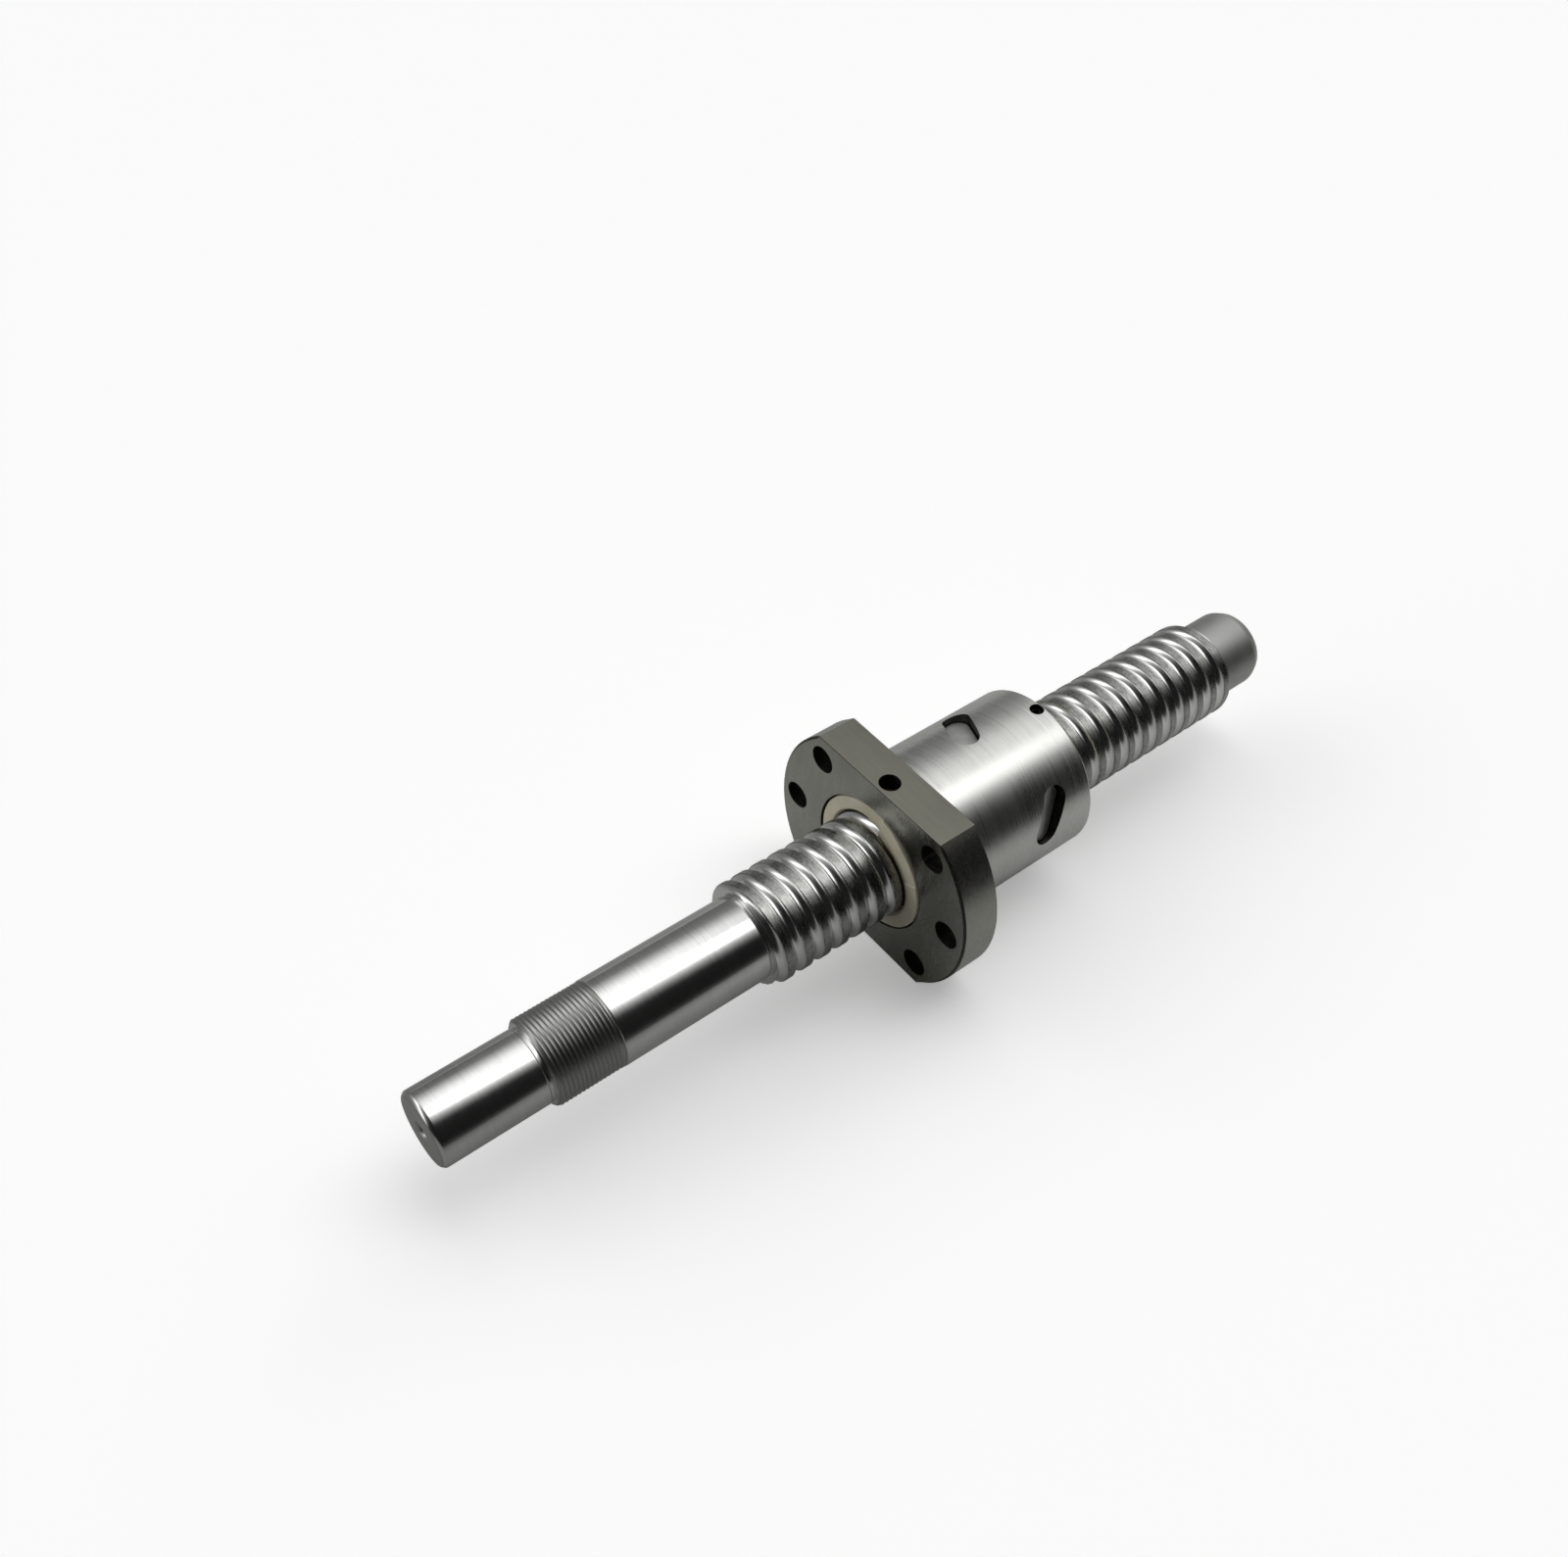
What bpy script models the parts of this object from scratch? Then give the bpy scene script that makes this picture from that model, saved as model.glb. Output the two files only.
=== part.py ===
"""Ball screw assembly: a rolled or ground screw with machined ends, and a flanged ball nut on it.

Units are metres and +Z is up. +X runs along the screw's axis, from the middle of the drive
end's face, which is the origin, towards the support end. Angles about the axis are measured
from +Y towards +Z. The right-hand thread therefore moves towards +X as the angle grows.
"""

import math

import bmesh
import bpy
from mathutils import Matrix, Vector

MM = 0.001

# Driving dimensions of the ball thread
LEAD = 5.0 * MM
BALL_RADIUS = 3.175 / 2 * MM
BALL_CIRCLE_RADIUS = 12.85 * MM  # the ball centres' distance from the axis
GROOVE_RADIUS = 1.65 * MM  # of the circle that a groove's three flats clear
GROOVE_FLOOR_HALF = 0.86 * MM  # half the width of the screw groove's flat floor
GROOVE_MOUTH_HALF = 2.2 * MM  # half its cutter's width, this far outside the screw:
GROOVE_MOUTH_RISE = 0.6 * MM
NUT_GROOVE_FLOOR_HALF = 0.95 * MM
NUT_GROOVE_MOUTH_HALF = 2.15 * MM
NUT_GROOVE_MOUTH_RISE = 0.5 * MM
CHORD_ALLOWANCE = 0.2 * MM  # extra depth in the nut, because its facets are chords
THREAD_PHASE = 1.1 * MM  # x of a groove's middle at angle 0, less whole leads
THREAD_SEGMENTS = 24
ROUND_SEGMENTS = 48

# The screw, from the drive end
SCREW_RADIUS = 12.5 * MM
DRIVE_JOURNAL_RADIUS = 8.5 * MM
SEAT_RADIUS = 10.0 * MM
LOCKNUT_THREAD_RADIUS = 9.9 * MM
SUPPORT_JOURNAL_RADIUS = 10.0 * MM
DRIVE_JOURNAL_LENGTH = 25.0 * MM
LOCKNUT_THREAD_LENGTH = 16.0 * MM
SEAT_LENGTH = 37.0 * MM
BALL_THREAD_LENGTH = 144.5 * MM
SUPPORT_JOURNAL_LENGTH = 14.5 * MM
END_CHAMFER = 1.0 * MM
LOCKNUT_CHAMFER = 0.6 * MM
SUPPORT_CHAMFER = 1.0 * MM
SUPPORT_CHAMFER_RUN = 2.2 * MM
THREAD_CHAMFER = 1.0 * MM

# The nut, from the front face of its flange
NUT_FRONT_X = 113.0 * MM
NUT_LENGTH = 51.0 * MM
NUT_RADIUS = 20.0 * MM
NUT_BORE_RADIUS = 13.0 * MM
NUT_CHAMFER = 0.8 * MM
FLANGE_RADIUS = 31.0 * MM
FLANGE_THICKNESS = 10.0 * MM
FLANGE_ACROSS_FLATS = 48.0 * MM
FLANGE_CHAMFER = 0.5 * MM
BOLT_CIRCLE_RADIUS = 25.5 * MM
BOLT_HOLE_RADIUS = 3.3 * MM
BOLT_HOLE_ANGLES = (-45, 0, 45, 135, 180, 225)
BOLT_HOLE_SEGMENTS = 16

# The wipers and the set screws that hold them
WIPER_RADIUS = 16.5 * MM
WIPER_BORE_RADIUS = 12.85 * MM
WIPER_LENGTH = 4.5 * MM
WIPER_SHOULDER = 3.375 * MM  # from its face to the groove round it
WIPER_SET_BACK = 0.25 * MM
WIPER_GROOVE_DEPTH = 1.0 * MM
COUNTERBORE_RADIUS = 16.85 * MM
COUNTERBORE_DEPTH = 5.1 * MM
GREASE_PORT_X = 3.4 * MM
GREASE_PORT_RADIUS = 2.4 * MM
GREASE_PORT_FLOOR = 19.6 * MM  # distance from the axis
SET_SCREW_HOLE_RADIUS = 1.65 * MM
SET_SCREW_RADIUS = 1.35 * MM
SET_SCREW_TIP = 16.85 * MM  # distance from the axis
SET_SCREW_LENGTH = 2.2 * MM
SET_SCREW_CHAMFER = 0.4 * MM
SET_SCREW_SEGMENTS = 12
SOCKET_RADIUS = 0.7 * MM
SOCKET_DEPTH = 1.0 * MM
REAR_SET_SCREW_X = 48.7 * MM

# The four ball circuits, each with one deflector
CIRCUITS = 4
FIRST_DEFLECTOR_ANGLE = -111.0
FIRST_DEFLECTOR_X = 19.06 * MM
DEFLECTOR_ANGLE_STEP = 90.0
DEFLECTOR_X_STEP = 1.25 * LEAD  # a quarter turn ahead, and a whole lead
BALLS_PER_CIRCUIT = 25
RETURN_BALLS = 4
CROSSING_HALF_ANGLE = 26.0
CROSSING_LIFT = 1.45 * MM
DEFLECTOR_LENGTH = 14.4 * MM  # of the pocket, as is the width
DEFLECTOR_WIDTH = 6.5 * MM
DEFLECTOR_SLANT = 27.0
DEFLECTOR_TOP = 17.4 * MM  # distance from the axis, as are the blank's start and the bottom
DEFLECTOR_BLANK_START = 10.0 * MM
DEFLECTOR_BOTTOM_RADIUS = 13.2 * MM
CHANNEL_RADIUS = 1.85 * MM
CHANNEL_REACH = 9.0 * MM  # along the ball path, to each side of the crossing's middle
CHANNEL_STEPS = 18
CHANNEL_SIDES = 10
PATH_STEPS = 40  # along half a crossing
THREAD_PATH_STEPS = 320
BALL_SIDES = 6
BALL_SHOULDER = 0.66 * MM  # a loaded ball is a barrel between two shoulders
BALL_SHOULDER_RADIUS = 1.44 * MM
NECK_RADIUS = 0.35 * MM
POCKET_END_SEGMENTS = 8
GAP = 0.3 * MM
PAST = 2.0 * MM  # how far a cutter runs past what it cuts

# Stations along the screw
LOCKNUT_THREAD_X = DRIVE_JOURNAL_LENGTH
SEAT_X = LOCKNUT_THREAD_X + LOCKNUT_THREAD_LENGTH
BALL_THREAD_X = SEAT_X + SEAT_LENGTH
SUPPORT_JOURNAL_X = BALL_THREAD_X + BALL_THREAD_LENGTH
SCREW_END_X = SUPPORT_JOURNAL_X + SUPPORT_JOURNAL_LENGTH


def clear_scene():
    for old in list(bpy.data.objects):
        bpy.data.objects.remove(old, do_unlink=True)


def make_material(name, colour, roughness, metallic):
    material = bpy.data.materials.new(name)
    material.use_nodes = True
    shader = material.node_tree.nodes["Principled BSDF"]
    shader.inputs["Base Color"].default_value = (*colour, 1)
    shader.inputs["Roughness"].default_value = roughness
    shader.inputs["Metallic"].default_value = metallic
    return material


def make_object(name, mesh, material=None, parent=None, cutter=False):
    """An object from a bmesh. A cutter isn't rendered."""
    bmesh.ops.recalc_face_normals(mesh, faces=mesh.faces)
    data = bpy.data.meshes.new(name)
    mesh.to_mesh(data)
    mesh.free()
    made = bpy.data.objects.new(name, data)
    bpy.context.scene.collection.objects.link(made)
    made.parent = parent
    if material:
        data.materials.append(material)
        data.shade_smooth()
        data.set_sharp_from_angle(angle=math.radians(30))
    if cutter:
        made.hide_render = True
        made.display_type = "WIRE"
    return made


def make_empty(name, x):
    made = bpy.data.objects.new(name, None)
    made.location = (x, 0, 0)
    bpy.context.scene.collection.objects.link(made)
    return made


def on_axis(x, radius, degrees):
    angle = math.radians(degrees)
    return Vector((x, radius * math.cos(angle), radius * math.sin(angle)))


def loft(rings, close_ends=True, closed_loop=False):
    """A bmesh with quads between rings of points. An end ring of one point is a tip."""
    mesh = bmesh.new()
    rows = [[mesh.verts.new(point) for point in ring] for ring in rings]
    pairs = list(zip(rows, rows[1:]))
    if closed_loop:
        pairs.append((rows[-1], rows[0]))
    for row, following in pairs:
        for i in range(max(len(row), len(following))):
            corners = [row[i % len(row)], row[(i + 1) % len(row)]]
            corners += [following[(i + 1) % len(following)], following[i % len(following)]]
            mesh.faces.new(list(dict.fromkeys(corners)))
    if close_ends and not closed_loop:
        for row in (rows[0], rows[-1]):
            if len(row) > 2:
                mesh.faces.new(row)
    return mesh


def turned(profile, segments, closed_loop=False):
    """A shape turned about X from (x, radius) points. A closed loop of points makes a ring."""
    steps = [360 * i / segments for i in range(segments)]
    rings = [[on_axis(x, radius, step) for step in steps] for x, radius in profile]
    return loft(rings, closed_loop=closed_loop)


def helical_groove(start_x, end_x, inner_half, inner, outer_half, outer):
    """A cutter with four sides that follows the ball thread from start_x to end_x."""
    first = math.floor((start_x - THREAD_PHASE) / LEAD * THREAD_SEGMENTS)
    last = math.ceil((end_x - THREAD_PHASE) / LEAD * THREAD_SEGMENTS)
    section = (
        (-inner_half, inner),
        (inner_half, inner),
        (outer_half, outer),
        (-outer_half, outer),
    )
    rings = []
    for step in range(first, last + 1):
        middle = THREAD_PHASE + LEAD * step / THREAD_SEGMENTS
        degrees = 360 * step / THREAD_SEGMENTS
        rings.append([on_axis(middle + u, radius, degrees) for u, radius in section])
    return loft(rings)


def prism(outline, low, high, frame):
    """An outline in the frame's first two axes, extruded along its third."""
    rings = [[frame @ Vector((u, v, h)) for u, v in outline] for h in (low, high)]
    return loft(rings)


def circle(radius, segments):
    angles = (2 * math.pi * i / segments for i in range(segments))
    return [(radius * math.cos(a), radius * math.sin(a)) for a in angles]


def stadium(length, width):
    """A slot's outline: two straight sides and two round ends."""
    radius = width / 2
    points = []
    for end, turn in ((1, -math.pi / 2), (-1, math.pi / 2)):
        for i in range(POCKET_END_SEGMENTS + 1):
            angle = turn + math.pi * i / POCKET_END_SEGMENTS
            u = end * (length / 2 - radius) + radius * math.cos(angle)
            points.append((u, radius * math.sin(angle)))
    return points


def cut(target, cutter, operation="DIFFERENCE"):
    modifier = target.modifiers.new(cutter.name, "BOOLEAN")
    modifier.operation = operation
    modifier.object = cutter


def radial_frame(x, degrees, slant=0.0):
    """Local axes at a point on the axis: along a slanted tangent, across it, and outwards."""
    outwards = on_axis(0, 1, degrees)
    tangent = Vector((1, 0, 0)).cross(outwards)
    lean = math.radians(slant)
    along = math.cos(lean) * tangent - math.sin(lean) * Vector((1, 0, 0))
    across = outwards.cross(along)
    axes = Matrix((along, across, outwards)).transposed()
    return Matrix.Translation((x, 0, 0)) @ axes.to_4x4()


def deflector_station(number):
    """(x, angle) of a circuit's deflector, in the nut's frame."""
    x = FIRST_DEFLECTOR_X + DEFLECTOR_X_STEP * number
    return x, FIRST_DEFLECTOR_ANGLE + DEFLECTOR_ANGLE_STEP * number


# ---------------------------------------------------------------- the ball path


def crossing_point(x, degrees, t):
    """The ball centre in a deflector, from one turn back to the turn before, for t from -1 to 1."""
    half_step = LEAD / 2 - LEAD * CROSSING_HALF_ANGLE / 360
    back = half_step * (1.5 * t - 0.5 * t**3)
    lift = CROSSING_LIFT * math.cos(math.pi * t / 2) ** 2
    return on_axis(x - back, BALL_CIRCLE_RADIUS + lift, degrees + CROSSING_HALF_ANGLE * t)


def thread_point(x, degrees, t):
    """The ball centre in the thread, from a deflector's outlet to its inlet, for t from 0 to 1."""
    turn = CROSSING_HALF_ANGLE + (360 - 2 * CROSSING_HALF_ANGLE) * t
    return on_axis(x - LEAD / 2 + LEAD * turn / 360, BALL_CIRCLE_RADIUS, degrees + turn)


def circuit_path(x, degrees):
    """Points along one closed ball path, from the middle of the crossing and back to it."""
    fine, long = PATH_STEPS, THREAD_PATH_STEPS
    points = [crossing_point(x, degrees, i / fine) for i in range(fine)]
    points += [thread_point(x, degrees, i / long) for i in range(long)]
    points += [crossing_point(x, degrees, i / fine - 1) for i in range(fine + 1)]
    return points


class Path:
    """Points at a given distance along a closed path."""

    def __init__(self, points):
        self.points = points
        self.at = [0.0]
        for a, b in zip(points, points[1:]):
            self.at.append(self.at[-1] + (b - a).length)
        self.length = self.at[-1]

    def point(self, distance):
        distance %= self.length
        low, high = 0, len(self.at) - 1
        while high - low > 1:
            middle = (low + high) // 2
            low, high = (middle, high) if self.at[middle] <= distance else (low, middle)
        share = (distance - self.at[low]) / (self.at[high] - self.at[low])
        return self.points[low].lerp(self.points[high], share)

    def ring(self, distance, radius, sides):
        """Points round the path, in the plane across it."""
        middle = self.point(distance)
        ahead = 0.1 * MM
        along = (self.point(distance + ahead) - self.point(distance - ahead)).normalized()
        across = along.cross(Vector((0, middle.y, middle.z))).normalized()
        outwards = across.cross(along)
        return [middle + u * across + v * outwards for u, v in circle(radius, sides)]


def ball_chain(path, first, count):
    """Neighbouring balls joined by thin necks, as one body. Each ball is a faceted barrel."""
    spacing = path.length / BALLS_PER_CIRCUIT
    rings = []
    for number in range(first, first + count):
        middle = (number + 0.5) * spacing
        if number == first:
            rings.append([path.point(middle - BALL_RADIUS)])
        rings.append(path.ring(middle - BALL_SHOULDER, BALL_SHOULDER_RADIUS, BALL_SIDES))
        rings.append(path.ring(middle + BALL_SHOULDER, BALL_SHOULDER_RADIUS, BALL_SIDES))
        if number < first + count - 1:
            rings.append(path.ring(middle + spacing / 2, NECK_RADIUS, BALL_SIDES))
    rings.append([path.point(middle + BALL_RADIUS)])
    return loft(rings)


def single_ball(path, place):
    """One ball, counted along the path from the middle of the crossing."""
    mesh = bmesh.new()
    bmesh.ops.create_icosphere(mesh, subdivisions=2, radius=BALL_RADIUS)
    middle = path.point((place + 0.5) * path.length / BALLS_PER_CIRCUIT)
    bmesh.ops.translate(mesh, verts=mesh.verts, vec=middle)
    return mesh


# ---------------------------------------------------------------- the screw


def make_screw(steel):
    c, t = END_CHAMFER, THREAD_CHAMFER
    profile = [
        (0, DRIVE_JOURNAL_RADIUS - c),
        (c, DRIVE_JOURNAL_RADIUS),
        (LOCKNUT_THREAD_X, DRIVE_JOURNAL_RADIUS),
        (LOCKNUT_THREAD_X, LOCKNUT_THREAD_RADIUS - LOCKNUT_CHAMFER),
        (LOCKNUT_THREAD_X + LOCKNUT_CHAMFER, LOCKNUT_THREAD_RADIUS),
        (SEAT_X, LOCKNUT_THREAD_RADIUS),
        (SEAT_X, SEAT_RADIUS),
        (BALL_THREAD_X, SEAT_RADIUS),
        (BALL_THREAD_X, SCREW_RADIUS - t),
        (BALL_THREAD_X + t, SCREW_RADIUS),
        (SUPPORT_JOURNAL_X - t, SCREW_RADIUS),
        (SUPPORT_JOURNAL_X, SCREW_RADIUS - t),
        (SUPPORT_JOURNAL_X, SUPPORT_JOURNAL_RADIUS),
        (SCREW_END_X - SUPPORT_CHAMFER_RUN, SUPPORT_JOURNAL_RADIUS),
        (SCREW_END_X, SUPPORT_JOURNAL_RADIUS - SUPPORT_CHAMFER),
    ]
    screw = make_object("screw_shaft", turned(profile, THREAD_SEGMENTS), steel)
    floor = BALL_CIRCLE_RADIUS - GROOVE_RADIUS
    groove = helical_groove(
        BALL_THREAD_X - LEAD,
        SUPPORT_JOURNAL_X + LEAD,
        GROOVE_FLOOR_HALF,
        floor,
        GROOVE_MOUTH_HALF,
        SCREW_RADIUS + GROOVE_MOUTH_RISE,
    )
    cut(screw, make_object("screw_groove_cutter", groove, cutter=True))
    return screw


# ---------------------------------------------------------------- the nut


def nut_blank():
    c, f = NUT_CHAMFER, FLANGE_CHAMFER
    profile = [
        (0, FLANGE_RADIUS - f),
        (f, FLANGE_RADIUS),
        (FLANGE_THICKNESS - f, FLANGE_RADIUS),
        (FLANGE_THICKNESS, FLANGE_RADIUS - f),
        (FLANGE_THICKNESS, NUT_RADIUS),
        (NUT_LENGTH - c, NUT_RADIUS),
        (NUT_LENGTH, NUT_RADIUS - c),
    ]
    return turned(profile, ROUND_SEGMENTS)


def nut_bore():
    """The bore with a counterbore at each end."""
    profile = [
        (-PAST, COUNTERBORE_RADIUS),
        (COUNTERBORE_DEPTH, COUNTERBORE_RADIUS),
        (COUNTERBORE_DEPTH, NUT_BORE_RADIUS),
        (NUT_LENGTH - COUNTERBORE_DEPTH, NUT_BORE_RADIUS),
        (NUT_LENGTH - COUNTERBORE_DEPTH, COUNTERBORE_RADIUS),
        (NUT_LENGTH + PAST, COUNTERBORE_RADIUS),
    ]
    return turned(profile, THREAD_SEGMENTS)


def nut_groove():
    """The nut's thread, a little deeper than the balls need."""
    groove = helical_groove(
        NUT_FRONT_X + COUNTERBORE_DEPTH - LEAD / 2,
        NUT_FRONT_X + NUT_LENGTH - COUNTERBORE_DEPTH + LEAD / 2,
        NUT_GROOVE_MOUTH_HALF,
        NUT_BORE_RADIUS - NUT_GROOVE_MOUTH_RISE,
        NUT_GROOVE_FLOOR_HALF,
        BALL_CIRCLE_RADIUS + GROOVE_RADIUS + CHORD_ALLOWANCE,
    )
    bmesh.ops.translate(groove, verts=groove.verts, vec=(-NUT_FRONT_X, 0, 0))
    return groove


def flat_cutter(side):
    """A block that leaves one of the flange's two flats."""
    flat = FLANGE_ACROSS_FLATS / 2
    half = FLANGE_RADIUS + PAST
    outline = [(-half, -PAST), (half, -PAST), (half, FLANGE_THICKNESS + PAST)]
    outline.append((-half, FLANGE_THICKNESS + PAST))
    frame = Matrix(((0, 1, 0), (1, 0, 0), (0, 0, side))).to_4x4()
    return prism(outline, flat, flat + FLANGE_RADIUS, frame)


def bolt_hole(degrees):
    middle = on_axis(0, BOLT_CIRCLE_RADIUS, degrees)
    frame = Matrix.Translation(middle) @ Matrix.Rotation(math.pi / 2, 4, "Y")
    outline = circle(BOLT_HOLE_RADIUS, BOLT_HOLE_SEGMENTS)
    return prism(outline, -PAST, FLANGE_THICKNESS + PAST, frame)


def radial_hole(x, radius, low, high):
    return prism(circle(radius, BOLT_HOLE_SEGMENTS), low, high, radial_frame(x, 90))


def deflector_channel(number):
    """The S-shaped ball channel in a deflector's underside."""
    x, degrees = deflector_station(number)
    path = Path(circuit_path(x, degrees))
    steps = CHANNEL_STEPS
    stations = [CHANNEL_REACH * (2 * i / steps - 1) for i in range(steps + 1)]
    return loft([path.ring(station, CHANNEL_RADIUS, CHANNEL_SIDES) for station in stations])


def make_nut(steel, holder):
    nut = make_object("nut_body", nut_blank(), steel, holder)
    cutters = [("bore", nut_bore()), ("groove", nut_groove())]
    cutters += [("flat_upper", flat_cutter(1)), ("flat_lower", flat_cutter(-1))]
    cutters += [(f"bolt_hole_{i + 1}", bolt_hole(a)) for i, a in enumerate(BOLT_HOLE_ANGLES)]
    port = radial_hole(GREASE_PORT_X, GREASE_PORT_RADIUS, GREASE_PORT_FLOOR, FLANGE_RADIUS)
    cutters.append(("grease_port", port))
    for name, x in (("front", GREASE_PORT_X), ("rear", REAR_SET_SCREW_X)):
        hole = radial_hole(x, SET_SCREW_HOLE_RADIUS, WIPER_RADIUS - PAST, NUT_RADIUS + PAST)
        cutters.append((f"{name}_set_screw_hole", hole))
    for number in range(CIRCUITS):
        x, degrees = deflector_station(number)
        frame = radial_frame(x, degrees, DEFLECTOR_SLANT)
        outline = stadium(DEFLECTOR_LENGTH, DEFLECTOR_WIDTH)
        pocket = prism(outline, DEFLECTOR_BLANK_START, NUT_RADIUS + PAST, frame)
        cutters.append((f"pocket_{number + 1}", pocket))
    for name, mesh in cutters:
        cut(nut, make_object(f"{name}_cutter", mesh, parent=holder, cutter=True))
    return nut


def make_deflector(number, steel, holder, core):
    x, degrees = deflector_station(number)
    frame = radial_frame(x, degrees, DEFLECTOR_SLANT)
    outline = stadium(DEFLECTOR_LENGTH - 2 * GAP, DEFLECTOR_WIDTH - 2 * GAP)
    body = prism(outline, DEFLECTOR_BLANK_START, DEFLECTOR_TOP, frame)
    deflector = make_object(f"deflector_{number + 1}", body, steel, holder)
    cut(deflector, core)
    channel = make_object(
        f"channel_{number + 1}_cutter", deflector_channel(number), parent=holder, cutter=True
    )
    cut(deflector, channel)
    return deflector


def make_wiper(name, face_x, inwards, plastic, holder):
    """A wiper ring with a groove round it for its set screw. inwards is 1 or -1 along X."""
    groove = WIPER_RADIUS - WIPER_GROOVE_DEPTH
    back = face_x + inwards * WIPER_LENGTH
    step = face_x + inwards * WIPER_SHOULDER
    profile = [
        (face_x, WIPER_BORE_RADIUS),
        (face_x, WIPER_RADIUS),
        (step, WIPER_RADIUS),
        (step, groove),
        (back, groove),
        (back, WIPER_BORE_RADIUS),
    ]
    return make_object(name, turned(profile, THREAD_SEGMENTS, True), plastic, holder)


def make_set_screw(name, x, steel, holder):
    """A headless screw with a six-sided socket in its outer end."""
    frame = radial_frame(x, 90)
    top = SET_SCREW_TIP + SET_SCREW_LENGTH
    profile = [
        (SET_SCREW_TIP, SET_SCREW_RADIUS - SET_SCREW_CHAMFER),
        (SET_SCREW_TIP + SET_SCREW_CHAMFER, SET_SCREW_RADIUS),
        (top, SET_SCREW_RADIUS),
    ]
    sides = SET_SCREW_SEGMENTS
    rings = [[frame @ Vector((*p, h)) for p in circle(r, sides)] for h, r in profile]
    screw = make_object(name, loft(rings), steel, holder)
    socket = prism(circle(SOCKET_RADIUS, 6), top - SOCKET_DEPTH, top + PAST, frame)
    cut(screw, make_object(f"{name}_socket_cutter", socket, parent=holder, cutter=True))
    return screw


def main():
    clear_scene()
    screw_steel = make_material("polished_steel", (0.62, 0.63, 0.64), 0.16, 1.0)
    nut_steel = make_material("ground_steel", (0.56, 0.56, 0.54), 0.3, 1.0)
    ball_steel = make_material("ball_steel", (0.75, 0.75, 0.76), 0.05, 1.0)
    insert_steel = make_material("insert_steel", (0.42, 0.43, 0.42), 0.45, 1.0)
    screw_black = make_material("black_oxide_steel", (0.05, 0.05, 0.05), 0.5, 1.0)
    plastic = make_material("ivory_plastic", (0.72, 0.68, 0.55), 0.5, 0.0)

    make_screw(screw_steel)
    nut_axis = make_empty("nut_axis", NUT_FRONT_X)
    ball_axis = make_empty("ball_axis", NUT_FRONT_X)
    make_nut(nut_steel, nut_axis)
    make_wiper("front_wiper", WIPER_SET_BACK, 1, plastic, nut_axis)
    make_wiper("rear_wiper", NUT_LENGTH - WIPER_SET_BACK, -1, plastic, nut_axis)
    make_set_screw("front_wiper_set_screw", GREASE_PORT_X, screw_black, nut_axis)
    make_set_screw("rear_wiper_set_screw", REAR_SET_SCREW_X, screw_black, nut_axis)

    profile = [(0, DEFLECTOR_BOTTOM_RADIUS), (NUT_LENGTH, DEFLECTOR_BOTTOM_RADIUS)]
    core = make_object(
        "screw_space_cutter", turned(profile, THREAD_SEGMENTS), parent=nut_axis, cutter=True
    )
    for number in range(CIRCUITS):
        make_deflector(number, insert_steel, nut_axis, core)
        path = Path(circuit_path(*deflector_station(number)))
        half = RETURN_BALLS // 2
        loaded = ball_chain(path, half, BALLS_PER_CIRCUIT - RETURN_BALLS)
        make_object(f"loaded_balls_{number + 1}", loaded, ball_steel, ball_axis)
        for place in range(-half, half):
            name = f"return_ball_{number + 1}_{place + half + 1}"
            make_object(name, single_ball(path, place), ball_steel, ball_axis)


main()
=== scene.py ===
"""The looks of a ball screw assembly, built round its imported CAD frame.

Lengths are in millimetres until a mesh is made, and then in metres. +X runs along the screw's
axis from the drive end. Angles round the axis are in degrees from +Y towards +Z.
"""

import math

import bmesh
import bpy
import numpy as np
from mathutils import Matrix, Quaternion, Vector


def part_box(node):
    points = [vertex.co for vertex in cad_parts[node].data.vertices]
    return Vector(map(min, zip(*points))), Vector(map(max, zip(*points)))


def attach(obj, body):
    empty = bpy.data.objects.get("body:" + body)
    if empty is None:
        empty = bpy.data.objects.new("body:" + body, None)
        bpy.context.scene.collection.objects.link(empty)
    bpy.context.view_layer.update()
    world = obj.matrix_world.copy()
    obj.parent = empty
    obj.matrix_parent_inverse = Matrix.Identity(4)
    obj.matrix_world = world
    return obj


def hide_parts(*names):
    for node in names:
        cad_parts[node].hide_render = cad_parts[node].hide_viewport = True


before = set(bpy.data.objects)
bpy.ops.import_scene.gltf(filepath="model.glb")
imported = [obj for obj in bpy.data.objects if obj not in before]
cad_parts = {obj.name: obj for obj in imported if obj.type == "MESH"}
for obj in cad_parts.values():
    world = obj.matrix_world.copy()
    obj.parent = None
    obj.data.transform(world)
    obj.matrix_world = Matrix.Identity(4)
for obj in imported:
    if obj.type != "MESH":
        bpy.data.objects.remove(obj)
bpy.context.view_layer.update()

MM = 0.001


def node_box(name):
    low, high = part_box(name)
    return low / MM, high / MM


SCREW_HIGH = node_box("screw_shaft")[1]
NUT_LOW, NUT_HIGH = node_box("nut_body")

# The ball thread
LEAD = 5.0
BALL_RADIUS = 3.175 / 2
BALL_CIRCLE = 12.85
GROOVE_RADIUS = 1.66
GOTHIC_SHIFT = 0.06  # of each half groove's centre past the middle
THREAD_PHASE = 1.1  # x of a groove's middle at angle 0, less whole leads
SCREW_RADIUS = 12.5
LAND_SOFTENING = 0.16
LAND_CORNER = (1.3, 1.7)  # where the land's corners start and end, from a groove's middle

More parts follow.
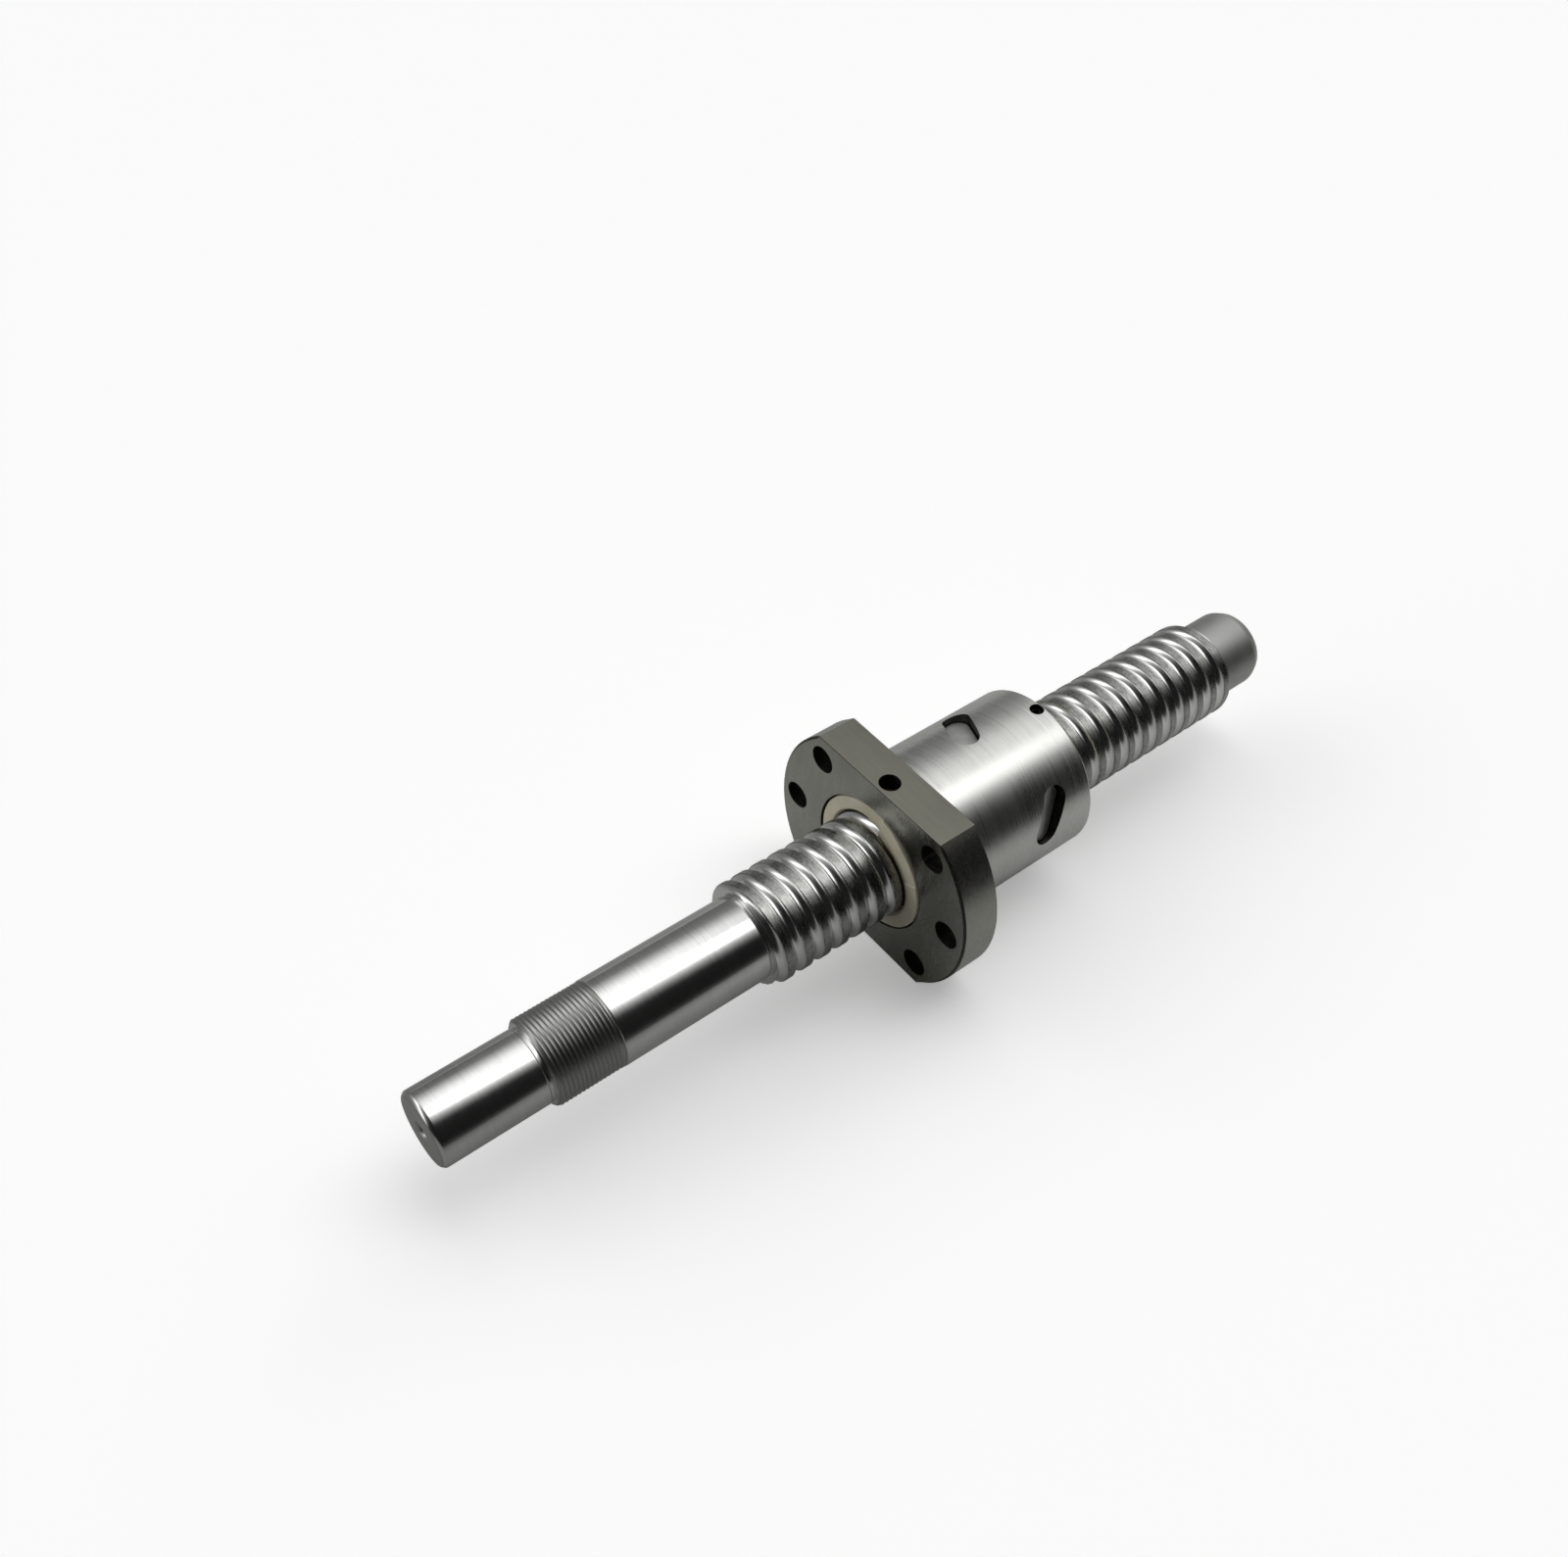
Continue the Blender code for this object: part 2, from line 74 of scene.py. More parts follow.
# The screw's stations and radii, from the drive end
DRIVE_RADIUS = 8.5
DRIVE_CHAMFER = 0.8
LOCKNUT_X = 25.0
LOCKNUT_RADIUS = 9.9
LOCKNUT_PITCH = 1.0
LOCKNUT_DEPTH = 0.32
LOCKNUT_FLANK = 0.42 * LOCKNUT_PITCH  # a flank's width, which leaves a flat crest
LOCKNUT_CHAMFER = 0.7
LOCKNUT_END = 40.55
LOCKNUT_RUN_OUT = 40.5  # where its grooves have run out, over the last 1
LOCKNUT_RELIEF = 0.22
SEAT_X = 41.0
SEAT_RADIUS = 10.0
SEAT_UNDERCUT = 0.18
BALL_THREAD_X = 78.0
SUPPORT_X = 222.5
SUPPORT_RADIUS = 10.0
SUPPORT_CHAMFER = 1.0
SUPPORT_CHAMFER_RUN = 2.2  # along the axis
SCREW_END = SCREW_HIGH.x
THREAD_CHAMFER = 1.1
UNDERCUT = 0.2  # of the grooves beside the steps, where they have no depth of their own
DRIVE_FACE_EDGE = 0.3  # how near each end its face's finish starts
SUPPORT_FACE_EDGE = 0.2
CENTRE_HOLE_RADIUS = 2.1
CENTRE_DRILL_RADIUS = 1.0
CENTRE_DRILL_DEPTH = 1.9  # past its cone, and so is the tip
CENTRE_DRILL_TIP = 2.6
CENTRE_HOLE_CONE = 60.0  # degrees across

# The nut, from the front face of its flange
NUT_FRONT = NUT_LOW.x
NUT_LENGTH = NUT_HIGH.x - NUT_LOW.x
NUT_RADIUS = 20.0
NUT_CHAMFER = 0.8
NUT_BORE = 13.0
FLANGE_RADIUS = NUT_HIGH.y
FLANGE_FLAT = NUT_HIGH.z
FLANGE_THICKNESS = 10.0
LOBE_CHAMFER = 0.5
FLAT_CHAMFER = 0.12
CORNER_SOFTENING = 0.05
CHAMFER_RUN = 1.2  # how soon the lobe's chamfer is full, past the flat's corner
COUNTERBORE_RADIUS = 16.85
COUNTERBORE_DEPTH = 5.1
BOLT_CIRCLE = 25.5
BOLT_HOLE_RADIUS = 3.3
BOLT_HOLE_ANGLES = (-45, 0, 45, 135, 180, 225)
PORT_X = 3.4
PORT_RADIUS = 2.4
PORT_FLOOR = 19.6
SET_SCREW_HOLE = 1.65
SET_SCREW_RADIUS = 1.35
SET_SCREW_PITCH = 0.5
SET_SCREW_THREAD_DEPTH = 0.2
SOCKET_HALF_WIDTH = 0.75
SOCKET_DEPTH = 1.0
REAR_SET_SCREW_X = 48.7
HOLE_CHAMFER = 0.1

# The wipers
WIPER_RADIUS = 16.5
WIPER_BORE = 12.85
WIPER_LENGTH = 4.5
WIPER_SET_BACK = 0.25
WIPER_SHOULDER = 0.75 * WIPER_LENGTH  # from its face to the groove round it
WIPER_GROOVE_DEPTH = 1.0
WIPER_RIM = 0.5  # the bore's chamfer
WIPER_RIB_HEIGHT = 1.4
WIPER_RIB_HALF_WIDTH = 1.25
WIPER_SEAM = 158.0  # angle at which the front wiper's rib ends and its face steps
WIPER_STEPS = (99.0, WIPER_SEAM, 202.0)
WIPER_RAISE = (  # how far the face stands out at each angle
    (98.7, 0), (99.3, 0.45), (124, 0.85), (157.7, 0.7), (158.3, 0.9), (200, 0.8), (260, 0),
)
RIB_CUT_TURN = 120.0  # past the seam the rib is cut down over this angle
RIB_CUT_LENGTH = 1.4
RIB_CUT_SHARE = 0.25

# The ball circuits
CIRCUITS = 4
FIRST_DEFLECTOR_ANGLE = -111.0
FIRST_DEFLECTOR_X = 19.06
DEFLECTOR_ANGLE_STEP = 90.0
DEFLECTOR_X_STEP = 1.25 * LEAD
BALLS_PER_CIRCUIT = 25
RETURN_BALLS = 4
CROSSING_HALF_ANGLE = 26.0
CROSSING_LIFT = 1.45
POCKET_LENGTH = 14.4
POCKET_WIDTH = 6.5
DEFLECTOR_GAP = 0.3
DEFLECTOR_SLANT = 27.0
DEFLECTOR_TOP = 17.4
DEFLECTOR_BOTTOM = 13.2
CHANNEL_RADIUS = 1.85

PAST = 2.0  # how far a cutter runs past what it cuts
OUTLINE_POINTS = 48  # of a pocket or a deflector
INSIDE_SCREW = 0.8 * SCREW_RADIUS  # where pockets and deflectors start, below what cuts them


# ---------------------------------------------------------------- meshes


def on_axis(x, radius, degrees):
    angle = math.radians(degrees)
    return Vector((x, radius * math.cos(angle), radius * math.sin(angle)))


def softened(corners, steps=4):
    """(x, radius, softening) corners as (x, radius) points. A softened corner becomes a curve."""
    points = []
    for i, (x, radius, soft) in enumerate(corners):
        here = Vector((x, radius))
        if soft == 0 or i in (0, len(corners) - 1):
            points.append(tuple(here))
            continue
        before = Vector(corners[i - 1][:2])
        after = Vector(corners[i + 1][:2])
        start = here + (before - here).normalized() * soft
        end = here + (after - here).normalized() * soft
        for step in range(steps + 1):
            t = step / steps
            points.append(tuple((1 - t) ** 2 * start + 2 * t * (1 - t) * here + t * t * end))
    return points


def soft_min(a, b, width):
    """The lower of two heights, with a rounded change from one to the other."""
    near = np.maximum(width - np.abs(a - b), 0) / width
    return np.minimum(a, b) - near**2 * width / 4


class Skin:
    """A skin round the X axis, made of rings of points that are joined by quads."""

    def __init__(self, angles):
        self.angles = np.radians(np.asarray(angles, float))
        self.points = []
        self.count = 0
        self.faces = []
        self.first = None
        self.last = None

    def place(self, x, radius):
        """Adds points, one for each x, and returns their indices in the shape of x."""
        radius = np.broadcast_to(radius, x.shape)
        angle = np.broadcast_to(self.angles, x.shape)
        made = np.stack([x, radius * np.cos(angle), radius * np.sin(angle)], -1)
        self.points.append(made.reshape(-1, 3))
        indices = self.count + np.arange(x.size).reshape(x.shape)
        self.count += x.size
        return indices

    def join(self, quads):
        """Adds quads. Where corners coincide they shrink to triangles, or to nothing."""
        for quad in quads.tolist():
            corners = list(dict.fromkeys(quad))
            if len(corners) > 2:
                self.faces.append(corners)

    def follow(self, ring, end=None):
        if self.last is None:
            self.first = ring
        else:
            following = np.roll(self.last, -1), np.roll(ring, -1)
            self.join(np.stack([self.last, following[0], following[1], ring], -1))
        self.last = ring if end is None else end

    def ring(self, x, radius):
        self.follow(self.place(np.broadcast_to(x, self.angles.shape).astype(float), radius))

    def rings(self, profile):
        for x, radius in profile:
            self.ring(x, radius)

    def thread(self, start, end, lead, phase, offsets, surface):
        """Rows along a right-hand helix, cut off at start and end, which may vary with angle.

        surface(u, x, degrees) is the radius at u along X from the middle of a groove."""
        turn = self.angles / (2 * math.pi)
        first = math.floor((np.min(start) - phase) / lead) - 2
        last = math.ceil((np.max(end) - phase) / lead) + 2
        middles = phase + lead * np.arange(first, last)
        rows = (middles[:, None] + np.asarray(offsets)[None, :]).ravel()
        x = rows[:, None] + lead * turn[None, :]
        lowest = (x <= start).sum(0) - 1
        highest = (x < end).sum(0)
        x = np.clip(x, start, end)
        u = (x - phase - lead * turn + lead / 2) % lead - lead / 2
        placed = self.place(x, surface(u, x, np.degrees(self.angles)[None, :]))
        row = np.clip(np.arange(len(rows))[:, None], lowest, highest)
        here = np.take_along_axis(placed, row, 0)
        following = np.roll(here, -1, 1)
        shifted = np.minimum(np.arange(len(rows)) + len(offsets), len(rows) - 1)
        following[:, -1] = here[shifted, 0]
        self.follow(here[0], here[-1])
        quads = np.stack([here[:-1], following[:-1], following[1:], here[1:]], -1)
        self.join(quads.reshape(-1, 4))

    def close(self):
        """Joins the last ring to the first."""
        self.follow(self.first)

    def cap(self):
        """Closes both ends with a flat face."""
        self.faces.append(self.first.tolist())
        self.faces.append(self.last.tolist()[::-1])

    def build(self, name, materials, placed=None, sharp=32):
        points = np.concatenate(self.points)
        used = np.unique(np.concatenate([np.asarray(face) for face in self.faces]))
        renumber = np.zeros(len(points), int)
        renumber[used] = np.arange(len(used))
        mesh = bmesh.new()
        verts = [mesh.verts.new(point) for point in points[used]]
        for face in self.faces:
            mesh.faces.new([verts[renumber[i]] for i in face])
        return make_object(name, mesh, materials, placed, sharp)


def make_object(name, mesh, materials=(), placed=None, sharp=32):
    """An object from a bmesh in millimetres. placed is a matrix, also in millimetres."""
    bmesh.ops.recalc_face_normals(mesh, faces=mesh.faces)
    if placed is not None:
        bmesh.ops.transform(mesh, matrix=placed, verts=mesh.verts)
    bmesh.ops.scale(mesh, vec=(MM, MM, MM), verts=mesh.verts)
    data = bpy.data.meshes.new(name)
    mesh.to_mesh(data)
    mesh.free()
    for material in materials:
        data.materials.append(material)
    data.shade_smooth()
    data.set_sharp_from_angle(angle=math.radians(sharp))
    made = bpy.data.objects.new(name, data)
    bpy.context.scene.collection.objects.link(made)
    return made


def carve(target, cutters, sharp=32):
    """Cuts the cutters out of the target for good, and removes them."""
    for cutter in cutters:
        modifier = target.modifiers.new(cutter.name, "BOOLEAN")
        modifier.operation = "DIFFERENCE"
        modifier.solver = "EXACT"
        modifier.object = cutter
    evaluated = target.evaluated_get(bpy.context.evaluated_depsgraph_get())
    data = bpy.data.meshes.new_from_object(evaluated)
    target.modifiers.clear()
    target.data = data
    data.shade_smooth()
    data.set_sharp_from_angle(angle=math.radians(sharp))
    for cutter in cutters:
        bpy.data.objects.remove(cutter, do_unlink=True)
    return target


def even_angles(sides, extra=()):
    """Evenly spaced angles, with extra ones among them."""
    angles = set(round(360 * i / sides, 4) for i in range(sides))
    angles.update(round(angle % 360, 4) for angle in extra)
    return sorted(angles)


def radial_frame(x, degrees, slant=0.0):
    """Axes at a point on the axis: along a slanted tangent, across it, and outwards."""
    outwards = on_axis(0, 1, degrees)
    tangent = Vector((1, 0, 0)).cross(outwards)
    lean = math.radians(slant)
    along = math.cos(lean) * tangent - math.sin(lean) * Vector((1, 0, 0))
    across = outwards.cross(along)
    axes = Matrix((along, across, outwards)).transposed()
    return Matrix.Translation((x, 0, 0)) @ axes.to_4x4()


def upright(x, degrees):
    """Turns a skin's own X axis to point outwards from the screw's axis."""
    turned = Matrix(((0, 1, 0), (0, 0, 1), (1, 0, 0))).to_4x4()
    return radial_frame(x, degrees) @ turned


def outline_prism(outline, levels):
    """A bmesh from an outline, repeated at (height, inset factor) levels, with flat ends."""
    mesh = bmesh.new()
    rows = []
    for height, inset in levels:
        rows.append([mesh.verts.new((*outline(inset, i), height)) for i in range(OUTLINE_POINTS)])
    for low, high in zip(rows, rows[1:]):
        for i in range(OUTLINE_POINTS):
            j = (i + 1) % OUTLINE_POINTS
            mesh.faces.new((low[i], low[j], high[j], high[i]))
    mesh.faces.new(rows[0])
    mesh.faces.new(rows[-1])
    return mesh


def stadium(length, width):
    """A slot's outline as a function of an inset and a point's number."""
    radius = width / 2
    half = OUTLINE_POINTS // 2

    def point(inset, i):
        end = 1 if i < half else -1
        angle = math.pi * ((i % half) / (half - 1) - 0.5) + (0 if end == 1 else math.pi)
        reach = radius - inset
        return end * (length / 2 - radius) + reach * math.cos(angle), reach * math.sin(angle)

    return point


# ---------------------------------------------------------------- the ball path


def crossing_points(x, degrees, t):
    half_step = LEAD / 2 - LEAD * CROSSING_HALF_ANGLE / 360
    back = half_step * (1.5 * t - 0.5 * t**3)
    lift = CROSSING_LIFT * np.cos(np.pi * t / 2) ** 2
    angle = np.radians(degrees + CROSSING_HALF_ANGLE * t)
    radius = BALL_CIRCLE + lift
    return np.stack([x - back, radius * np.cos(angle), radius * np.sin(angle)], -1)


def thread_points(x, degrees, t):
    turn = CROSSING_HALF_ANGLE + (360 - 2 * CROSSING_HALF_ANGLE) * t
    angle = np.radians(degrees + turn)
    along = x - LEAD / 2 + LEAD * turn / 360
    return np.stack([along, BALL_CIRCLE * np.cos(angle), BALL_CIRCLE * np.sin(angle)], -1)


class Circuit:
    """One closed path of ball centres, measured along it from the middle of its crossing."""

    def __init__(self, number):
        self.x = NUT_FRONT + FIRST_DEFLECTOR_X + DEFLECTOR_X_STEP * number
        self.degrees = FIRST_DEFLECTOR_ANGLE + DEFLECTOR_ANGLE_STEP * number
        fine = np.linspace(0, 1, 81)
        parts = (
            crossing_points(self.x, self.degrees, fine[:-1]),
            thread_points(self.x, self.degrees, np.linspace(0, 1, 400)[:-1]),
            crossing_points(self.x, self.degrees, fine - 1),
        )
        self.points = np.concatenate(parts)
        steps = np.linalg.norm(np.diff(self.points, axis=0), axis=1)
        self.at = np.concatenate([[0], np.cumsum(steps)])
        self.length = self.at[-1]

    def point(self, distance):
        distance %= self.length
        return Vector([np.interp(distance, self.at, self.points[:, i]) for i in range(3)])

    def ball(self, place):
        return self.point((place + 0.5) * self.length / BALLS_PER_CIRCUIT)

    def channel(self, radius):
        """A tube along the crossing, as a cutter's bmesh."""
        sides, steps, reach, ahead = 24, 48, 9.0, 0.1
        mesh = bmesh.new()
        rows = []
        for step in range(steps + 1):
            distance = reach * (2 * step / steps - 1)
            middle = self.point(distance)
            along = (self.point(distance + ahead) - self.point(distance - ahead)).normalized()
            across = along.cross(Vector((0, middle.y, middle.z))).normalized()
            outwards = across.cross(along)
            row = []
            for side in range(sides):
                angle = 2 * math.pi * side / sides
                offset = math.cos(angle) * across + math.sin(angle) * outwards
                row.append(mesh.verts.new(middle + radius * offset))
            rows.append(row)
        for low, high in zip(rows, rows[1:]):
            for i in range(sides):
                j = (i + 1) % sides
                mesh.faces.new((low[i], low[j], high[j], high[i]))
        mesh.faces.new(rows[0])
        mesh.faces.new(rows[-1])
        return mesh


# ---------------------------------------------------------------- materials


class Nodes:
    """A node tree, with short ways to add to it."""

    def __init__(self, tree):
        self.tree = tree

    def add(self, kind, inputs=None, **settings):
        made = self.tree.nodes.new(kind)
        for name, value in settings.items():
            setattr(made, name, value)
        for name, value in (inputs or {}).items():
            self.feed(made.inputs[name], value)
        return made

    def feed(self, socket, value):
        if isinstance(value, bpy.types.NodeSocket):
            self.tree.links.new(value, socket)
        else:
            socket.default_value = value

    def maths(self, operation, *values):
        made = self.add("ShaderNodeMath", operation=operation)
        for i, value in enumerate(values):
            self.feed(made.inputs[i], value)
        return made.outputs["Value"]


class Graph(Nodes):
    """A material's nodes, ending in its Principled shader."""

    def __init__(self, name, **constants):
        self.material = bpy.data.materials.new(name)
        self.material.use_nodes = True
        super().__init__(self.material.node_tree)
        self.shader = self.tree.nodes["Principled BSDF"]
        for socket, value in constants.items():
            self.shader.inputs[socket.replace("_", " ")].default_value = value
        self.place = self.add("ShaderNodeTexCoord").outputs["Object"]

    def noise(self, scale, detail=3.0, roughness=0.5):
        """Noise that is stretched by a different scale along each axis."""
        mapped = self.add("ShaderNodeMapping", {"Vector": self.place, "Scale": scale})
        inputs = {
            "Vector": mapped.outputs["Vector"],
            "Scale": 1.0,
            "Detail": detail,
            "Roughness": roughness,
        }
        return self.add("ShaderNodeTexNoise", inputs).outputs["Fac"]

    def spread(self, value, low, high, start=0.3, end=0.7):
        """A value from start to end, mapped to low to high and held there."""
        inputs = {
            "Value": value,
            "From Min": start,
            "From Max": end,
            "To Min": low,
            "To Max": high,
        }
        return self.add("ShaderNodeMapRange", inputs).outputs["Result"]

    def mix(self, share, a, b):
        made = self.add("ShaderNodeMix", data_type="RGBA")
        colours = [socket for socket in made.inputs if socket.type == "RGBA"]
        self.feed(made.inputs["Factor"], share)
        for socket, colour in zip(colours, (a, b)):
            self.feed(socket, colour if isinstance(colour, bpy.types.NodeSocket) else (*colour, 1))
        return next(socket for socket in made.outputs if socket.type == "RGBA")

    def axis_distance(self):
        """Distance from the screw's axis, in metres."""
        split = self.add("ShaderNodeSeparateXYZ", {"Vector": self.place})
        squares = [self.maths("POWER", split.outputs[axis], 2.0) for axis in ("Y", "Z")]
        return self.maths("SQRT", self.maths("ADD", *squares))

    def bump(self, height, strength, distance):
        inputs = {"Height": height, "Strength": strength, "Distance": distance}
        made = self.add("ShaderNodeBump", inputs)
        self.feed(self.shader.inputs["Normal"], made.outputs["Normal"])

    def colour(self, value):
        self.feed(self.shader.inputs["Base Color"], value)

    def roughness(self, value):
        self.feed(self.shader.inputs["Roughness"], value)


def shade(colour, factor):
    return tuple(channel * factor for channel in colour)


def machined_steel(name, colour, rough, lines, depth, across=60.0, spread=0.25, clouds=70.0):
    """Steel with tool marks round the axis. lines is how many there are in a metre along X."""
    g = Graph(name, Metallic=1.0)
    marks = g.noise((lines, across, across), detail=4.0, roughness=0.6)
    patches = g.noise((clouds, clouds, clouds), detail=5.0, roughness=0.6)
    both = g.maths("ADD", g.maths("MULTIPLY", marks, 0.6), g.maths("MULTIPLY", patches, 0.4))
    g.colour(g.mix(g.spread(both, 0.0, 1.0), shade(colour, 0.86), shade(colour, 1.08)))
    g.roughness(g.spread(both, rough * (1 - spread), rough * (1 + spread)))
    g.bump(marks, 1.0, depth)
    return g.material


def rolled_steel():
    """The ball thread: polished grooves between satin lands."""
    g = Graph("rolled_thread", Metallic=1.0)
    marks = g.noise((3800.0, 160.0, 160.0), detail=4.0, roughness=0.6)
    grain = g.noise((1500.0, 900.0, 900.0), detail=5.0, roughness=0.7)
    edge = SCREW_RADIUS * MM
    land = g.spread(g.axis_distance(), 0.0, 1.0, edge - 0.00035, edge - 0.0001)
    shares = g.spread(marks, 0.0, 1.0), g.spread(grain, 0.0, 1.0)
    polished = g.mix(shares[0], (0.62, 0.625, 0.61), (0.74, 0.745, 0.73))
    satin = g.mix(shares[1], (0.19, 0.19, 0.182), (0.36, 0.36, 0.347))
    g.colour(g.mix(land, polished, satin))
    smooth = g.spread(marks, 0.12, 0.24)
    g.roughness(g.maths("ADD", smooth, g.maths("MULTIPLY", land, g.spread(grain, 0.05, 0.14))))
    g.bump(marks, 1.0, 0.000006)
    return g.material


def ground_face_steel(name, colour, rough, direction, depth):
    """Flat ground steel. direction is the noise scale along X, Y and Z, least along the marks."""
    g = Graph(name, Metallic=1.0)
    marks = g.noise(direction, detail=4.0, roughness=0.65)
    patches = g.noise((55.0, 55.0, 55.0), detail=5.0, roughness=0.6)
    both = g.maths("ADD", g.maths("MULTIPLY", marks, 0.5), g.maths("MULTIPLY", patches, 0.5))
    g.colour(g.mix(g.spread(both, 0.0, 1.0), shade(colour, 0.84), shade(colour, 1.1)))
    g.roughness(g.spread(both, rough * 0.85, rough * 1.15))
    g.bump(marks, 1.0, depth)
    return g.material


def painted_shade_steel():
    """Near-black steel as painted shade on the walls of holes and pockets, the bore and the
    flange's chamfers, with tool marks round them.
    """
    g = Graph("painted_shade_steel", Metallic=1.0)
    marks = g.noise((2500.0, 300.0, 2500.0), detail=3.0)
    # Painted shade: these walls are coloured almost black, as if in shadow.
    g.colour(g.mix(g.spread(marks, 0.0, 1.0), (0.035, 0.034, 0.03), (0.085, 0.08, 0.07)))
    g.roughness(g.spread(marks, 0.4, 0.6))
    g.bump(marks, 1.0, 0.00002)
    return g.material


def sintered_steel():
    """The deflectors' grey, slightly grainy steel."""
    g = Graph("sintered_steel", Metallic=1.0)
    grain = g.noise((5000.0, 5000.0, 5000.0), detail=3.0, roughness=0.7)
    patches = g.noise((300.0, 300.0, 300.0), detail=4.0)
    g.colour(g.mix(g.spread(patches, 0.0, 1.0), (0.58, 0.585, 0.57), (0.7, 0.705, 0.69)))
    g.roughness(g.spread(grain, 0.38, 0.55))
    g.bump(grain, 0.7, 0.00002)
    return g.material


def black_oxide():
    g = Graph("black_oxide", Metallic=1.0)
    patches = g.noise((900.0, 900.0, 900.0), detail=4.0)
    g.colour(g.mix(g.spread(patches, 0.0, 1.0), (0.012, 0.012, 0.013), (0.028, 0.027, 0.026)))
    g.roughness(g.spread(patches, 0.45, 0.65))
    g.bump(patches, 0.5, 0.00001)
    return g.material


def bearing_steel():
    """The balls: bright, with the faintest haze and a film of oil."""
    g = Graph("bearing_steel", Metallic=1.0)
    haze = g.noise((600.0, 600.0, 600.0), detail=5.0)
    g.colour(g.mix(g.spread(haze, 0.0, 1.0), (0.7, 0.7, 0.69), (0.78, 0.78, 0.77)))
    g.roughness(g.spread(haze, 0.05, 0.12))
    return g.material


def ivory_plastic():
    """The wipers' moulded plastic, browned next to the screw: partly an oil stain and partly
    painted shade of the bore and its gap.
    """
    g = Graph("ivory_plastic", IOR=1.5, Subsurface_Weight=0.08, Subsurface_Scale=0.001)
    grain = g.noise((1800.0, 1800.0, 1800.0), detail=4.0)
    patches = g.noise((220.0, 220.0, 220.0), detail=5.0)
    clean = g.mix(g.spread(patches, 0.0, 1.0), (0.74, 0.69, 0.53), (0.84, 0.79, 0.63))
    near = g.spread(g.axis_distance(), 1.0, 0.0, WIPER_BORE * MM - 0.0008, WIPER_BORE * MM + 0.0009)
    # Stain and painted shade: darker brown near the bore, in patches.
    stain_and_shade = g.maths("MULTIPLY", near, g.spread(patches, 0.35, 1.0))
    g.colour(g.mix(stain_and_shade, clean, (0.31, 0.25, 0.15)))
    g.roughness(g.spread(grain, 0.38, 0.55))
    g.bump(grain, 0.5, 0.00003)
    return g.material


# ---------------------------------------------------------------- the screw


def groove_surface(u, ridge):
    """A gothic arch groove's radius, with the land's corners softened."""
    reach = np.minimum(np.abs(u) + GOTHIC_SHIFT, GROOVE_RADIUS * 0.9999)
    groove = BALL_CIRCLE - np.sqrt(GROOVE_RADIUS**2 - reach**2)
    steep = (np.abs(u) + GOTHIC_SHIFT - reach) * 20
    return soft_min(groove + steep, np.asarray(ridge, float), LAND_SOFTENING)


def ball_thread_surface(u, x, degrees):
    """The ball thread, with a rounded run-down to each end."""
    from_end = np.minimum(x - BALL_THREAD_X, SUPPORT_X - x)
    inside = np.clip(from_end / THREAD_CHAMFER, 0, 1)
    ridge = SCREW_RADIUS - THREAD_CHAMFER * (1 - np.sqrt(1 - (1 - inside) ** 2))
    return groove_surface(u, ridge)


def locknut_surface(u, x, degrees):
    """A fine V thread with flat crests, run down at its start and run out before the seat."""
    flank = LOCKNUT_RADIUS - LOCKNUT_DEPTH + np.abs(u) * LOCKNUT_DEPTH / LOCKNUT_FLANK
    crest = np.minimum(LOCKNUT_RADIUS, LOCKNUT_RADIUS - LOCKNUT_CHAMFER + (x - LOCKNUT_X))
    run_out = LOCKNUT_RADIUS - np.clip(LOCKNUT_RUN_OUT - x, 0, 1) * LOCKNUT_DEPTH
    return np.minimum(np.maximum(flank, run_out), crest)


def thread_offsets():
    """Where a lead is sampled: closest on the corners of the land."""
    start, end = LAND_CORNER
    groove = np.linspace(0, start, 8, endpoint=False)
    corner = np.linspace(start, end, 7, endpoint=False)
    land = np.linspace(end, LEAD / 2, 3, endpoint=False)
    side = np.concatenate([groove, corner, land])
    return np.concatenate([[-LEAD / 2], -side[:0:-1], side])


def screw_end(x, radius, inwards):
    """A centre hole's profile, from its point out to the rim of the end face."""
    drill = CENTRE_DRILL_RADIUS
    hole = CENTRE_HOLE_RADIUS
    cone = (hole - drill) / math.tan(math.radians(CENTRE_HOLE_CONE / 2))
    corners = [
        (x + inwards * (cone + CENTRE_DRILL_TIP), 0.05, 0),
        (x + inwards * (cone + CENTRE_DRILL_DEPTH), drill, 0),
        (x + inwards * cone, drill, 0),
        (x + inwards * 0.4, hole - 0.1, 0.1),
        (x, hole + 0.35, 0.1),
        (x, radius, 0),
    ]
    return softened(corners)


